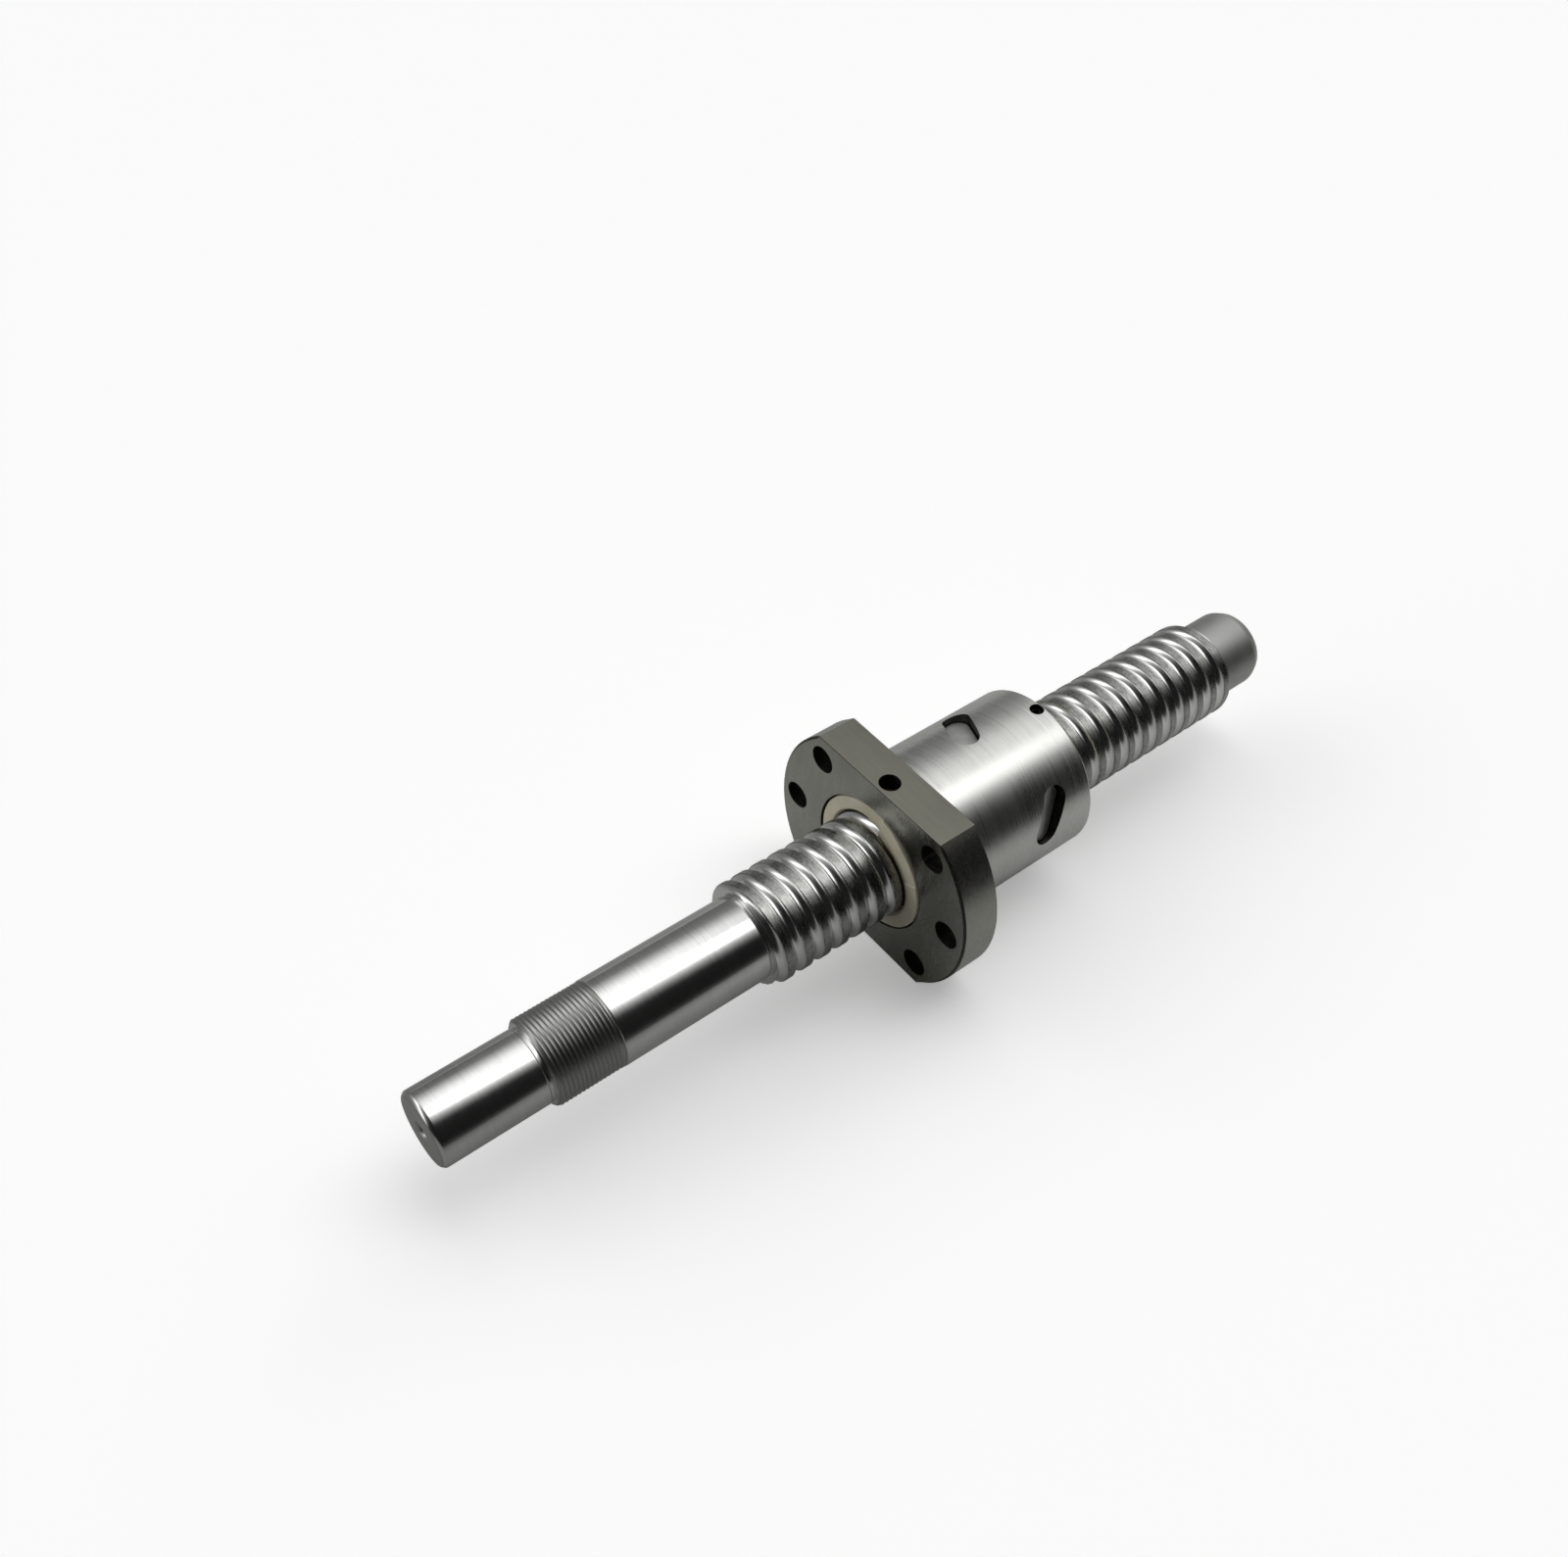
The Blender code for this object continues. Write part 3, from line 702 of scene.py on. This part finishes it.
def make_screw(materials):
    skin = Skin(even_angles(84))
    face_edge = DRIVE_RADIUS - 2 * DRIVE_CHAMFER
    skin.rings(screw_end(0, face_edge, 1))
    drive = [
        (0, face_edge, 0),
        (0, DRIVE_RADIUS - DRIVE_CHAMFER, 0.35),
        (DRIVE_CHAMFER, DRIVE_RADIUS, 0.4),
        (LOCKNUT_X - 1.1, DRIVE_RADIUS, 0.1),
        (LOCKNUT_X - 0.85, DRIVE_RADIUS - UNDERCUT, 0.1),
        (LOCKNUT_X, DRIVE_RADIUS - UNDERCUT, 0.15),
        (LOCKNUT_X, LOCKNUT_RADIUS - 0.72, 0),
    ]
    skin.rings(softened(drive)[1:])
    pitch = LOCKNUT_PITCH
    offsets = np.linspace(-pitch / 2, pitch / 2, 8, endpoint=False)
    skin.thread(LOCKNUT_X, LOCKNUT_END, pitch, THREAD_PHASE, offsets, locknut_surface)
    seat = [
        (LOCKNUT_END, LOCKNUT_RADIUS - 0.02, 0),
        (LOCKNUT_END + 0.05, LOCKNUT_RADIUS - LOCKNUT_RELIEF, 0.03),
        (SEAT_X - 0.15, LOCKNUT_RADIUS - LOCKNUT_RELIEF, 0.05),
        (SEAT_X, SEAT_RADIUS - 0.12, 0.05),
        (SEAT_X + 0.12, SEAT_RADIUS, 0.05),
        (BALL_THREAD_X - 0.9, SEAT_RADIUS, 0.1),
        (BALL_THREAD_X - 0.7, SEAT_RADIUS - SEAT_UNDERCUT, 0.08),
        (BALL_THREAD_X, SEAT_RADIUS - SEAT_UNDERCUT, 0.12),
        (BALL_THREAD_X, SEAT_RADIUS + 0.4, 0),
    ]
    skin.rings(softened(seat)[1:])
    skin.thread(
        BALL_THREAD_X, SUPPORT_X, LEAD, THREAD_PHASE, thread_offsets(), ball_thread_surface
    )
    face_edge = SUPPORT_RADIUS - SUPPORT_CHAMFER_RUN
    support = [
        (SUPPORT_X, SUPPORT_RADIUS + 0.5, 0),
        (SUPPORT_X, SUPPORT_RADIUS - UNDERCUT, 0.1),
        (SUPPORT_X + 0.8, SUPPORT_RADIUS - UNDERCUT, 0.1),
        (SUPPORT_X + 1.0, SUPPORT_RADIUS, 0.1),
        (SCREW_END - SUPPORT_CHAMFER_RUN, SUPPORT_RADIUS, 0.5),
        (SCREW_END, SUPPORT_RADIUS - SUPPORT_CHAMFER, 0.25),
        (SCREW_END, face_edge, 0),
    ]
    skin.rings(softened(support))
    skin.rings(screw_end(SCREW_END, face_edge, -1)[::-1][1:])
    skin.cap()
    screw = skin.build("ball_screw", materials)
    zones = (LOCKNUT_X + 0.05, SEAT_X - 0.05, BALL_THREAD_X - 0.02, SUPPORT_X + 0.02)
    for face in screw.data.polygons:
        x, y, z = face.center / MM
        past_ends = x < DRIVE_FACE_EDGE or x > SCREW_END - SUPPORT_FACE_EDGE
        at_end = past_ends or math.hypot(y, z) < CENTRE_HOLE_RADIUS
        face.material_index = len(zones) + 1 if at_end else sum(x > edge for edge in zones)
    return screw


# ---------------------------------------------------------------- the nut


def flange_outline(angles):
    """The flange's radius at each angle, and how much of a lobe that place is, from 0 to 1."""
    angle = np.radians(angles)
    flat = FLANGE_FLAT / np.maximum(np.abs(np.sin(angle)), 0.01)
    lobe = np.clip((flat - FLANGE_RADIUS) / CHAMFER_RUN, 0, 1)
    return soft_min(np.full(len(angle), FLANGE_RADIUS), flat, CORNER_SOFTENING), lobe


def nut_groove_surface(u, x, degrees):
    reach = np.minimum(np.abs(u) + GOTHIC_SHIFT, GROOVE_RADIUS * 0.9999)
    groove = BALL_CIRCLE + np.sqrt(GROOVE_RADIUS**2 - reach**2)
    return np.maximum(groove, NUT_BORE)


def nut_skin():
    corner = math.degrees(math.asin(FLANGE_FLAT / FLANGE_RADIUS))
    fine = [corner + 0.3 * step for step in range(-4, 5)]
    extra = [side + sign * angle for angle in fine for side in (0, 180) for sign in (1, -1)]
    angles = even_angles(144, extra)
    skin = Skin(angles)
    start, end = NUT_FRONT, NUT_FRONT + NUT_LENGTH
    offsets = np.linspace(-LEAD / 2, LEAD / 2, 14, endpoint=False)
    depth = COUNTERBORE_DEPTH
    skin.thread(start + depth, end - depth, LEAD, THREAD_PHASE, offsets, nut_groove_surface)
    edge = HOLE_CHAMFER
    rear = [
        (end - depth, COUNTERBORE_RADIUS - 1, 0),
        (end - depth, COUNTERBORE_RADIUS, 0.1),
        (end - edge, COUNTERBORE_RADIUS, 0.05),
        (end, COUNTERBORE_RADIUS + edge, 0.05),
        (end, NUT_RADIUS - NUT_CHAMFER, 0.15),
        (end - NUT_CHAMFER, NUT_RADIUS, 0.15),
        (start + FLANGE_THICKNESS + 1.0, NUT_RADIUS, 0.1),
        (start + FLANGE_THICKNESS + 0.8, NUT_RADIUS - UNDERCUT, 0.1),
        (start + FLANGE_THICKNESS, NUT_RADIUS - UNDERCUT, 0.15),
        (start + FLANGE_THICKNESS, NUT_RADIUS + 0.6, 0),
    ]
    skin.rings(softened(rear))
    outline, lobe = flange_outline(angles)
    chamfer = FLAT_CHAMFER + (LOBE_CHAMFER - FLAT_CHAMFER) * lobe
    edge_curve = softened([(0, 2, 0), (0, 1, 0.2), (1, 0, 0.2), (2, 0, 0)])[1:-1]
    for along, inset in edge_curve:
        skin.ring(start + FLANGE_THICKNESS - chamfer * along, outline - chamfer * inset)
    for along, inset in edge_curve[::-1]:
        skin.ring(start + chamfer * along, outline - chamfer * inset)
    front = [
        (start, COUNTERBORE_RADIUS + 3, 0),
        (start, COUNTERBORE_RADIUS + edge, 0.05),
        (start + edge, COUNTERBORE_RADIUS, 0.05),
        (start + depth, COUNTERBORE_RADIUS, 0.1),
        (start + depth, COUNTERBORE_RADIUS - 1, 0),
    ]
    skin.rings(softened(front))
    skin.close()
    return skin


def turned_cutter(name, profile, placed, sides=48):
    skin = Skin(even_angles(sides))
    skin.rings(profile)
    skin.cap()
    return skin.build(name, (), placed)


def bolt_hole_cutter(degrees):
    radius, edge, thick = BOLT_HOLE_RADIUS, HOLE_CHAMFER, FLANGE_THICKNESS
    profile = [
        (-PAST, radius + edge),
        (0, radius + edge),
        (edge, radius),
        (thick - edge, radius),
        (thick, radius + edge),
        (thick + PAST, radius + edge),
    ]
    placed = Matrix.Translation(on_axis(NUT_FRONT, BOLT_CIRCLE, degrees))
    return turned_cutter(f"bolt_hole_{degrees}", profile, placed)


def port_cutter():
    """The grease port in the upper flat and the set screw's hole that carries on from it."""
    top = FLANGE_FLAT
    profile = [
        (WIPER_RADIUS - PAST, SET_SCREW_HOLE),
        (PORT_FLOOR - 0.5, SET_SCREW_HOLE),
        (PORT_FLOOR, PORT_RADIUS),
        (top - HOLE_CHAMFER, PORT_RADIUS),
        (top, PORT_RADIUS + HOLE_CHAMFER),
        (top + PAST, PORT_RADIUS + HOLE_CHAMFER),
    ]
    return turned_cutter("grease_port", profile, upright(NUT_FRONT + PORT_X, 90))


def rear_hole_cutter():
    profile = [
        (WIPER_RADIUS - PAST, SET_SCREW_HOLE),
        (NUT_RADIUS - 0.15, SET_SCREW_HOLE),
        (NUT_RADIUS + 0.1, SET_SCREW_HOLE + 0.2),
        (NUT_RADIUS + PAST, SET_SCREW_HOLE + 0.2),
    ]
    return turned_cutter("rear_hole", profile, upright(NUT_FRONT + REAR_SET_SCREW_X, 90))


def pocket_cutter(number):
    circuit = Circuit(number)
    levels = [(INSIDE_SCREW, 0), (NUT_RADIUS + PAST, 0)]
    mesh = outline_prism(stadium(POCKET_LENGTH, POCKET_WIDTH), levels)
    placed = radial_frame(circuit.x, circuit.degrees, DEFLECTOR_SLANT)
    return make_object(f"pocket_{number + 1}", mesh, (), placed)


def round_normals(data, radii):
    """Gives the faces on these radii the normals of a true cylinder, however they were cut."""
    normals = np.zeros(len(data.loops) * 3, np.float32)
    data.corner_normals.foreach_get("vector", normals)
    normals = normals.reshape(-1, 3)
    for face in data.polygons:
        if abs(face.normal.x) > 0.02:
            continue
        points = [data.vertices[i].co / MM for i in face.vertices]
        sizes = [math.hypot(p.y, p.z) for p in points]
        for radius in radii:
            if all(abs(size - radius) < 0.02 for size in sizes):
                for loop, p, size in zip(face.loop_indices, points, sizes):
                    normals[loop] = (0, p.y / size, p.z / size)
    data.normals_split_custom_set(normals.tolist())


# IN_SHADE faces are given near-black painted shade instead of a steel finish.
ON_BODY, ON_FACE, ON_FLAT, IN_SHADE = range(4)


def nut_zone(centre, normal):
    """Which of the nut's finishes a face has: body, flange face, flange flat, or painted shade for
    hole walls, the bore, pockets, chamfers and the undercut's walls.
    """
    x = centre.x / MM - NUT_FRONT
    size = math.hypot(centre.y, centre.z) / MM
    outwards = (normal.y * centre.y + normal.z * centre.z) / (size * MM)
    if size < COUNTERBORE_RADIUS + 0.05 and 0.3 < x < NUT_LENGTH - 0.3:
        return IN_SHADE
    if x > FLANGE_THICKNESS + 0.02:
        on_skin = abs(size - NUT_RADIUS) < 0.4 or x > NUT_LENGTH - 0.9
        return ON_BODY if on_skin and (outwards > 0.3 or normal.x > 0.5) else IN_SHADE
    if abs(normal.z) > 0.99 and abs(centre.z) / MM > FLANGE_FLAT - 0.05:
        return ON_FLAT
    # Slanted chamfers are given the painted shade too.
    if 0.2 < abs(normal.x) < 0.95:
        return IN_SHADE
    wall = abs(normal.x) < 0.5 and size < FLANGE_RADIUS - 0.6 and outwards < 0.99
    near_flat = abs(centre.z) / MM > FLANGE_FLAT - 0.6
    return IN_SHADE if wall and not near_flat else ON_FACE


def make_nut(materials):
    nut = nut_skin().build("ball_nut", materials)
    cutters = [bolt_hole_cutter(angle) for angle in BOLT_HOLE_ANGLES]
    cutters += [port_cutter(), rear_hole_cutter()]
    cutters += [pocket_cutter(number) for number in range(CIRCUITS)]
    carve(nut, cutters)
    for face in nut.data.polygons:
        face.material_index = nut_zone(face.center, face.normal)
    round_normals(nut.data, (NUT_RADIUS, FLANGE_RADIUS))
    return nut


def make_deflector(number, material):
    circuit = Circuit(number)
    length = POCKET_LENGTH - 2 * DEFLECTOR_GAP
    width = POCKET_WIDTH - 2 * DEFLECTOR_GAP
    top = DEFLECTOR_TOP
    rounded_rim = [(top - 0.3, 0), (top - 0.12, 0.06), (top - 0.03, 0.15), (top, 0.32)]
    levels = [(INSIDE_SCREW, 0)] + rounded_rim
    placed = radial_frame(circuit.x, circuit.degrees, DEFLECTOR_SLANT)
    mesh = outline_prism(stadium(length, width), levels)
    made = make_object(f"deflector_insert_{number + 1}", mesh, (material,), placed, 40)
    core = [(NUT_FRONT, DEFLECTOR_BOTTOM), (NUT_FRONT + NUT_LENGTH, DEFLECTOR_BOTTOM)]
    cutters = [turned_cutter("screw_space", core, None, 96)]
    cutters.append(make_object("channel", circuit.channel(CHANNEL_RADIUS)))
    return carve(made, cutters, 40)


def wiper_rib(u):
    """How far the wiping rib stands in from the bore, at u from the middle of the groove."""
    reach = np.clip(np.abs(u) / WIPER_RIB_HALF_WIDTH, 0, 1)
    return WIPER_RIB_HEIGHT * np.cos(math.pi / 2 * reach) ** 2


def make_wiper(name, face_x, inwards, material):
    """A wiper ring whose rib runs in the screw's groove. inwards is 1 or -1 along X."""
    extra = [edge + offset for edge in WIPER_STEPS for offset in (-0.3, 0.3)]
    angles = even_angles(144, extra)
    degrees = np.asarray(angles)
    low = min(face_x, face_x + inwards * WIPER_LENGTH)
    high = low + WIPER_LENGTH

    def surface(u, x, angle):
        depth = inwards * (x - face_x)
        past_seam = (angle > WIPER_SEAM) & (angle < WIPER_SEAM + RIB_CUT_TURN)
        share = np.where(past_seam & (depth < RIB_CUT_LENGTH), RIB_CUT_SHARE, 1)
        rim = WIPER_RIM * np.clip(1 - depth / WIPER_RIM, 0, 1)
        return WIPER_BORE + rim * (wiper_rib(u) < 0.1) - wiper_rib(u) * share

    face = face_x - inwards * np.interp(degrees, *zip(*WIPER_RAISE))
    groove = WIPER_RADIUS - WIPER_GROOVE_DEPTH
    skin = Skin(angles)
    offsets = np.linspace(-LEAD / 2, LEAD / 2, 40, endpoint=False)
    ends = (face, high) if inwards > 0 else (low, face)
    skin.thread(*ends, LEAD, THREAD_PHASE, offsets, surface)
    back = face_x + inwards * WIPER_LENGTH
    shoulder = face_x + inwards * WIPER_SHOULDER
    outside = [
        (back, groove - 0.6, 0),
        (back, groove, 0.2),
        (shoulder, groove, 0.1),
        (shoulder, WIPER_RADIUS, 0.15),
        (face_x + inwards * 1.2, WIPER_RADIUS, 0),
    ]
    rim = [
        (face + inwards * 0.4, WIPER_RADIUS),
        (face + inwards * 0.15, WIPER_RADIUS - 0.06),
        (face + inwards * 0.04, WIPER_RADIUS - 0.18),
        (face, WIPER_RADIUS - 0.4),
        (face, WIPER_BORE + 0.9),
    ]
    skin.rings((softened(outside) + rim)[::inwards])
    skin.close()
    return skin.build(name, (material,), None, 40)


def make_set_screw(name, node, x, material):
    """A headless M3 screw with a hexagon socket in its outer end, as long as its CAD node."""
    low, high = node_box(node)
    tip, top = low.z, high.z
    pitch, depth, radius = SET_SCREW_PITCH, SET_SCREW_THREAD_DEPTH, SET_SCREW_RADIUS

    def surface(u, x, angle):
        flank = radius - depth + np.abs(u) * depth / (0.4 * pitch)
        ends = radius - 0.3 + np.minimum(x - tip - 0.3, top - x)
        return np.minimum(np.minimum(flank, radius), ends)

    angles = even_angles(48)
    socket = SOCKET_HALF_WIDTH / np.cos(np.radians((np.asarray(angles) + 30) % 60 - 30))
    skin = Skin(angles)
    skin.rings([(tip, 0.3), (tip, radius - 0.45)])
    offsets = np.linspace(-pitch / 2, pitch / 2, 8, endpoint=False)
    skin.thread(tip + 0.3, top, pitch, 0.0, offsets, surface)
    skin.rings([(top, socket + 0.08), (top - 0.06, socket), (top - SOCKET_DEPTH, socket)])
    skin.rings([(top - SOCKET_DEPTH - 0.3, 0.1)])
    skin.cap()
    return skin.build(name, (material,), upright(x, 90))


# ---------------------------------------------------------------- the balls


def make_balls(name, centres, material):
    mesh = bmesh.new()
    for centre in centres:
        ball = bmesh.ops.create_uvsphere(mesh, u_segments=24, v_segments=16, radius=BALL_RADIUS)
        bmesh.ops.translate(mesh, verts=ball["verts"], vec=centre)
    return make_object(name, mesh, (material,), None, 180)


# ---------------------------------------------------------------- the studio

CAMERA_PLACE = Vector((-48.64, -154.94, 262.88))
CAMERA_AZIMUTH = 41.06  # of the line of sight, from +Y towards +X
CAMERA_DROP = 46.77
CAMERA_ROLL = 3.52
CAMERA_LENS = 35.25
CAMERA_SENSOR = 36.0


def make_camera():
    azimuth, drop = math.radians(CAMERA_AZIMUTH), math.radians(CAMERA_DROP)
    level = math.cos(drop)
    sight = Vector((math.sin(azimuth) * level, math.cos(azimuth) * level, -math.sin(drop)))
    roll = Quaternion((0, 0, 1), math.radians(CAMERA_ROLL))
    data = bpy.data.cameras.new("camera")
    data.lens = CAMERA_LENS
    data.sensor_width = CAMERA_SENSOR
    data.clip_start, data.clip_end = 0.005, 50
    camera = bpy.data.objects.new("camera", data)
    camera.location = CAMERA_PLACE * MM
    camera.rotation_mode = "QUATERNION"
    camera.rotation_quaternion = sight.to_track_quat("-Z", "Y") @ roll
    bpy.context.scene.collection.objects.link(camera)
    bpy.context.scene.camera = camera


FLOOR_SEEN = (0.93, 0.935, 0.93)
FLOOR_MIRRORED = (0.92, 0.93, 0.91)
FLOOR_UNLIT = (0.03, 0.03, 0.03)
FLOOR_GLOW = 0.35
# Two shares of the floor's light, and the places along X or Y, in metres, that have them
FLOOR_FADES = (
    ("X", (0.38, 1.0, 0.0, 0.28)),
    ("Y", (0.0, 1.0, -0.24, -0.05)),
    ("Y", (1.0, 0.7, 0.03, 0.09)),
)
FLOOR_RADIUS = 6000.0
FLOOR_GAP = 0.1  # keeps the flange's lower flat and the floor apart


def floor_material():
    """Pale to the eye. What the metal mirrors is greyer, and dark towards the unlit side."""
    constants = {"Specular_IOR_Level": 0.1, "Emission_Color": (*FLOOR_SEEN, 1)}
    g = Graph("pale_floor", Roughness=0.9, **constants)
    seen = g.add("ShaderNodeLightPath").outputs["Is Camera Ray"]
    g.feed(g.shader.inputs["Emission Strength"], g.maths("MULTIPLY", seen, FLOOR_GLOW))
    split = g.add("ShaderNodeSeparateXYZ", {"Vector": g.place})
    share = 1.0
    for axis, fade in FLOOR_FADES:
        share = g.maths("MULTIPLY", g.spread(split.outputs[axis], *fade), share)
    mirrored = g.mix(share, FLOOR_UNLIT, FLOOR_MIRRORED)
    g.colour(g.mix(seen, mirrored, FLOOR_SEEN))
    return g.material


def make_floor():
    """A pale floor at the height of the flange's lower flat."""
    mesh = bmesh.new()
    bmesh.ops.create_circle(mesh, cap_ends=True, segments=96, radius=FLOOR_RADIUS)
    floor = make_object("floor", mesh, (floor_material(),))
    floor.location.z = (NUT_LOW.z - FLOOR_GAP) * MM


PALE_BACKGROUND = 0.96

# The studio's light, at angles over the screw's axis: from the horizon on the +Y side (0), over
# the top (90), to the horizon on the -Y side (180)
WALL = (
    (0, 0.16), (20, 0.21), (42, 0.29), (66, 0.4), (79, 0.28), (92, 0.13), (104, 0.06),
    (120, 0.014), (180, 0.012),
)
SOFTBOX = (
    (30, 0), (40, 0.25), (50, 0.55), (61, 1.0), (72, 1.25), (101, 1.4), (109, 1.1),
    (114, 0.75), (121, 0.35), (127, 0.12), (134, 0),
)
STRIP = ((80, 0), (86, 1.6), (103, 1.6), (110, 0))
SOFTBOX_TURN = 40.0  # degrees that the softbox and its strip move over for each unit along X
SOFTBOX_MIDDLE = 0.3

# Shares of the softbox and of its strip, by the X of a direction
SOFTBOX_ALONG = ((-0.1, 0), (0.1, 1), (0.32, 1), (0.55, 0.6), (0.66, 0.5), (0.72, 0.25), (1, 0.12))
STRIP_ALONG = ((-0.1, 0), (0.1, 1), (0.58, 1), (0.7, 0.3), (0.8, 0))

# White screens low down behind the object, past its far end and past its near end
FAR_SCREEN = ((0, 0.12), (22, 0.25), (40, 1.1), (58, 1.35), (78, 0.6), (98, 0))
FAR_SCREEN_ALONG = ((0.6, 0), (0.72, 0.6), (0.8, 1), (0.88, 0.8), (0.96, 0))
NEAR_SCREEN = ((0, 0.1), (18, 0.25), (31, 1.5), (46, 1.9), (57, 0.5), (67, 0))
NEAR_SCREEN_ALONG = ((-1, 1), (-0.35, 1), (-0.1, 0))


def make_world():
    """A long softbox over the screw, a grey wall behind it and a dark room in front."""
    world = bpy.data.worlds.new("studio")
    bpy.context.scene.world = world
    world.use_nodes = True
    g = Nodes(world.node_tree)

    def curve(value, stops, low, high):
        """A value between low and high, looked up among (value, result) stops."""
        most = max(result for _, result in stops)
        share = g.maths("DIVIDE", g.maths("SUBTRACT", value, low), high - low)
        ramp = g.add("ShaderNodeValToRGB", {"Fac": share})
        for i, (at, result) in enumerate(stops):
            place = (at - low) / (high - low)
            elements = ramp.color_ramp.elements
            stop = elements[i] if i < 2 else elements.new(place)
            stop.position = place
            stop.color = (*[result / most] * 3, 1)
        return g.maths("MULTIPLY", ramp.outputs["Color"], most)

    direction = g.add("ShaderNodeTexCoord").outputs["Generated"]
    split = g.add("ShaderNodeSeparateXYZ", {"Vector": direction})
    along = split.outputs["X"]
    over = g.maths("ARCTAN2", split.outputs["Z"], split.outputs["Y"])
    over = g.maths("MULTIPLY", over, 180 / math.pi)
    shift = g.maths("MULTIPLY", g.maths("SUBTRACT", along, SOFTBOX_MIDDLE), SOFTBOX_TURN)
    turned = g.maths("SUBTRACT", over, shift)
    light = curve(over, WALL, 0, 180)
    panels = (
        (turned, SOFTBOX, SOFTBOX_ALONG),
        (turned, STRIP, STRIP_ALONG),
        (over, FAR_SCREEN, FAR_SCREEN_ALONG),
        (over, NEAR_SCREEN, NEAR_SCREEN_ALONG),
    )
    for angle, across, lengthwise in panels:
        panel = g.maths("MULTIPLY", curve(angle, across, 0, 180), curve(along, lengthwise, -1, 1))
        light = g.maths("ADD", light, panel)
    seen = g.add("ShaderNodeLightPath").outputs["Is Camera Ray"]
    chosen = g.add("ShaderNodeMix", {"Factor": seen}, data_type="FLOAT")
    values = [socket for socket in chosen.inputs if socket.type == "VALUE"][1:]
    g.feed(values[0], light)
    g.feed(values[1], PALE_BACKGROUND)
    background = g.tree.nodes["Background"]
    result = next(socket for socket in chosen.outputs if socket.type == "VALUE")
    g.feed(background.inputs["Strength"], result)
    g.feed(background.inputs["Color"], (1, 1, 1, 1))


# ---------------------------------------------------------------- the assembly


def fit(piece, body, slot, *nodes):
    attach(piece, body)
    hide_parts(*nodes)


def main():
    journal = machined_steel("ground_journal", (0.63, 0.635, 0.62), 0.17, 5000.0, 0.0000012)
    locknut = machined_steel("cut_thread", (0.35, 0.35, 0.335), 0.3, 4000.0, 0.000003)
    rolled = rolled_steel()
    satin = machined_steel("satin_journal", (0.375, 0.375, 0.361), 0.5, 4500.0, 0.000003)
    ends = machined_steel("faced_end", (0.44, 0.44, 0.425), 0.35, 800.0, 0.000003, across=800.0)
    body = machined_steel("ground_nut", (0.6, 0.6, 0.575), 0.29, 2600.0, 0.0000016, across=25.0)
    face = ground_face_steel("flange_face", (0.375, 0.374, 0.335), 0.27, (900, 900, 130), 0.000003)
    flat = ground_face_steel("flange_flat", (0.181, 0.178, 0.149), 0.42, (1800, 70, 300), 0.000004)
    # Near-black painted shade for the nut's holes, pockets, bore and chamfers.
    hole_shade = painted_shade_steel()
    sintered = sintered_steel()
    plastic = ivory_plastic()
    oxide = black_oxide()
    bright = bearing_steel()

    screw = make_screw((journal, locknut, journal, rolled, satin, ends))
    fit(screw, "screw", "screw_steel", "screw_shaft")
    nut = make_nut((body, face, flat, hole_shade))
    fit(nut, "nut", "nut_steel", "nut_body")
    rings = (("front_wiper", WIPER_SET_BACK, 1), ("rear_wiper", NUT_LENGTH - WIPER_SET_BACK, -1))
    for name, x, inwards in rings:
        wiper = make_wiper(f"{name}_ring", NUT_FRONT + x, inwards, plastic)
        fit(wiper, "nut", "wiper_plastic", name)
    for end, x in (("front", PORT_X), ("rear", REAR_SET_SCREW_X)):
        node = f"{end}_wiper_set_screw"
        grub = make_set_screw(f"{end}_wiper_grub_screw", node, NUT_FRONT + x, oxide)
        fit(grub, "nut", "set_screw_steel", node)
    half = RETURN_BALLS // 2
    for number in range(CIRCUITS):
        circuit = Circuit(number)
        label = number + 1
        deflector = make_deflector(number, sintered)
        fit(deflector, "nut", "deflector_steel", f"deflector_{label}")
        loaded = [circuit.ball(place) for place in range(half, BALLS_PER_CIRCUIT - half)]
        chain = make_balls(f"circuit_{label}_loaded_balls", loaded, bright)
        fit(chain, "balls", "ball_steel", f"loaded_balls_{label}")
        for place in range(-half, half):
            name = f"circuit_{label}_return_ball_{place + half + 1}"
            ball = make_balls(name, [circuit.ball(place)], bright)
            fit(ball, "balls", "ball_steel", f"return_ball_{label}_{place + half + 1}")
    make_floor()
    make_world()
    make_camera()
    bpy.context.scene.view_settings.view_transform = "Standard"


main()
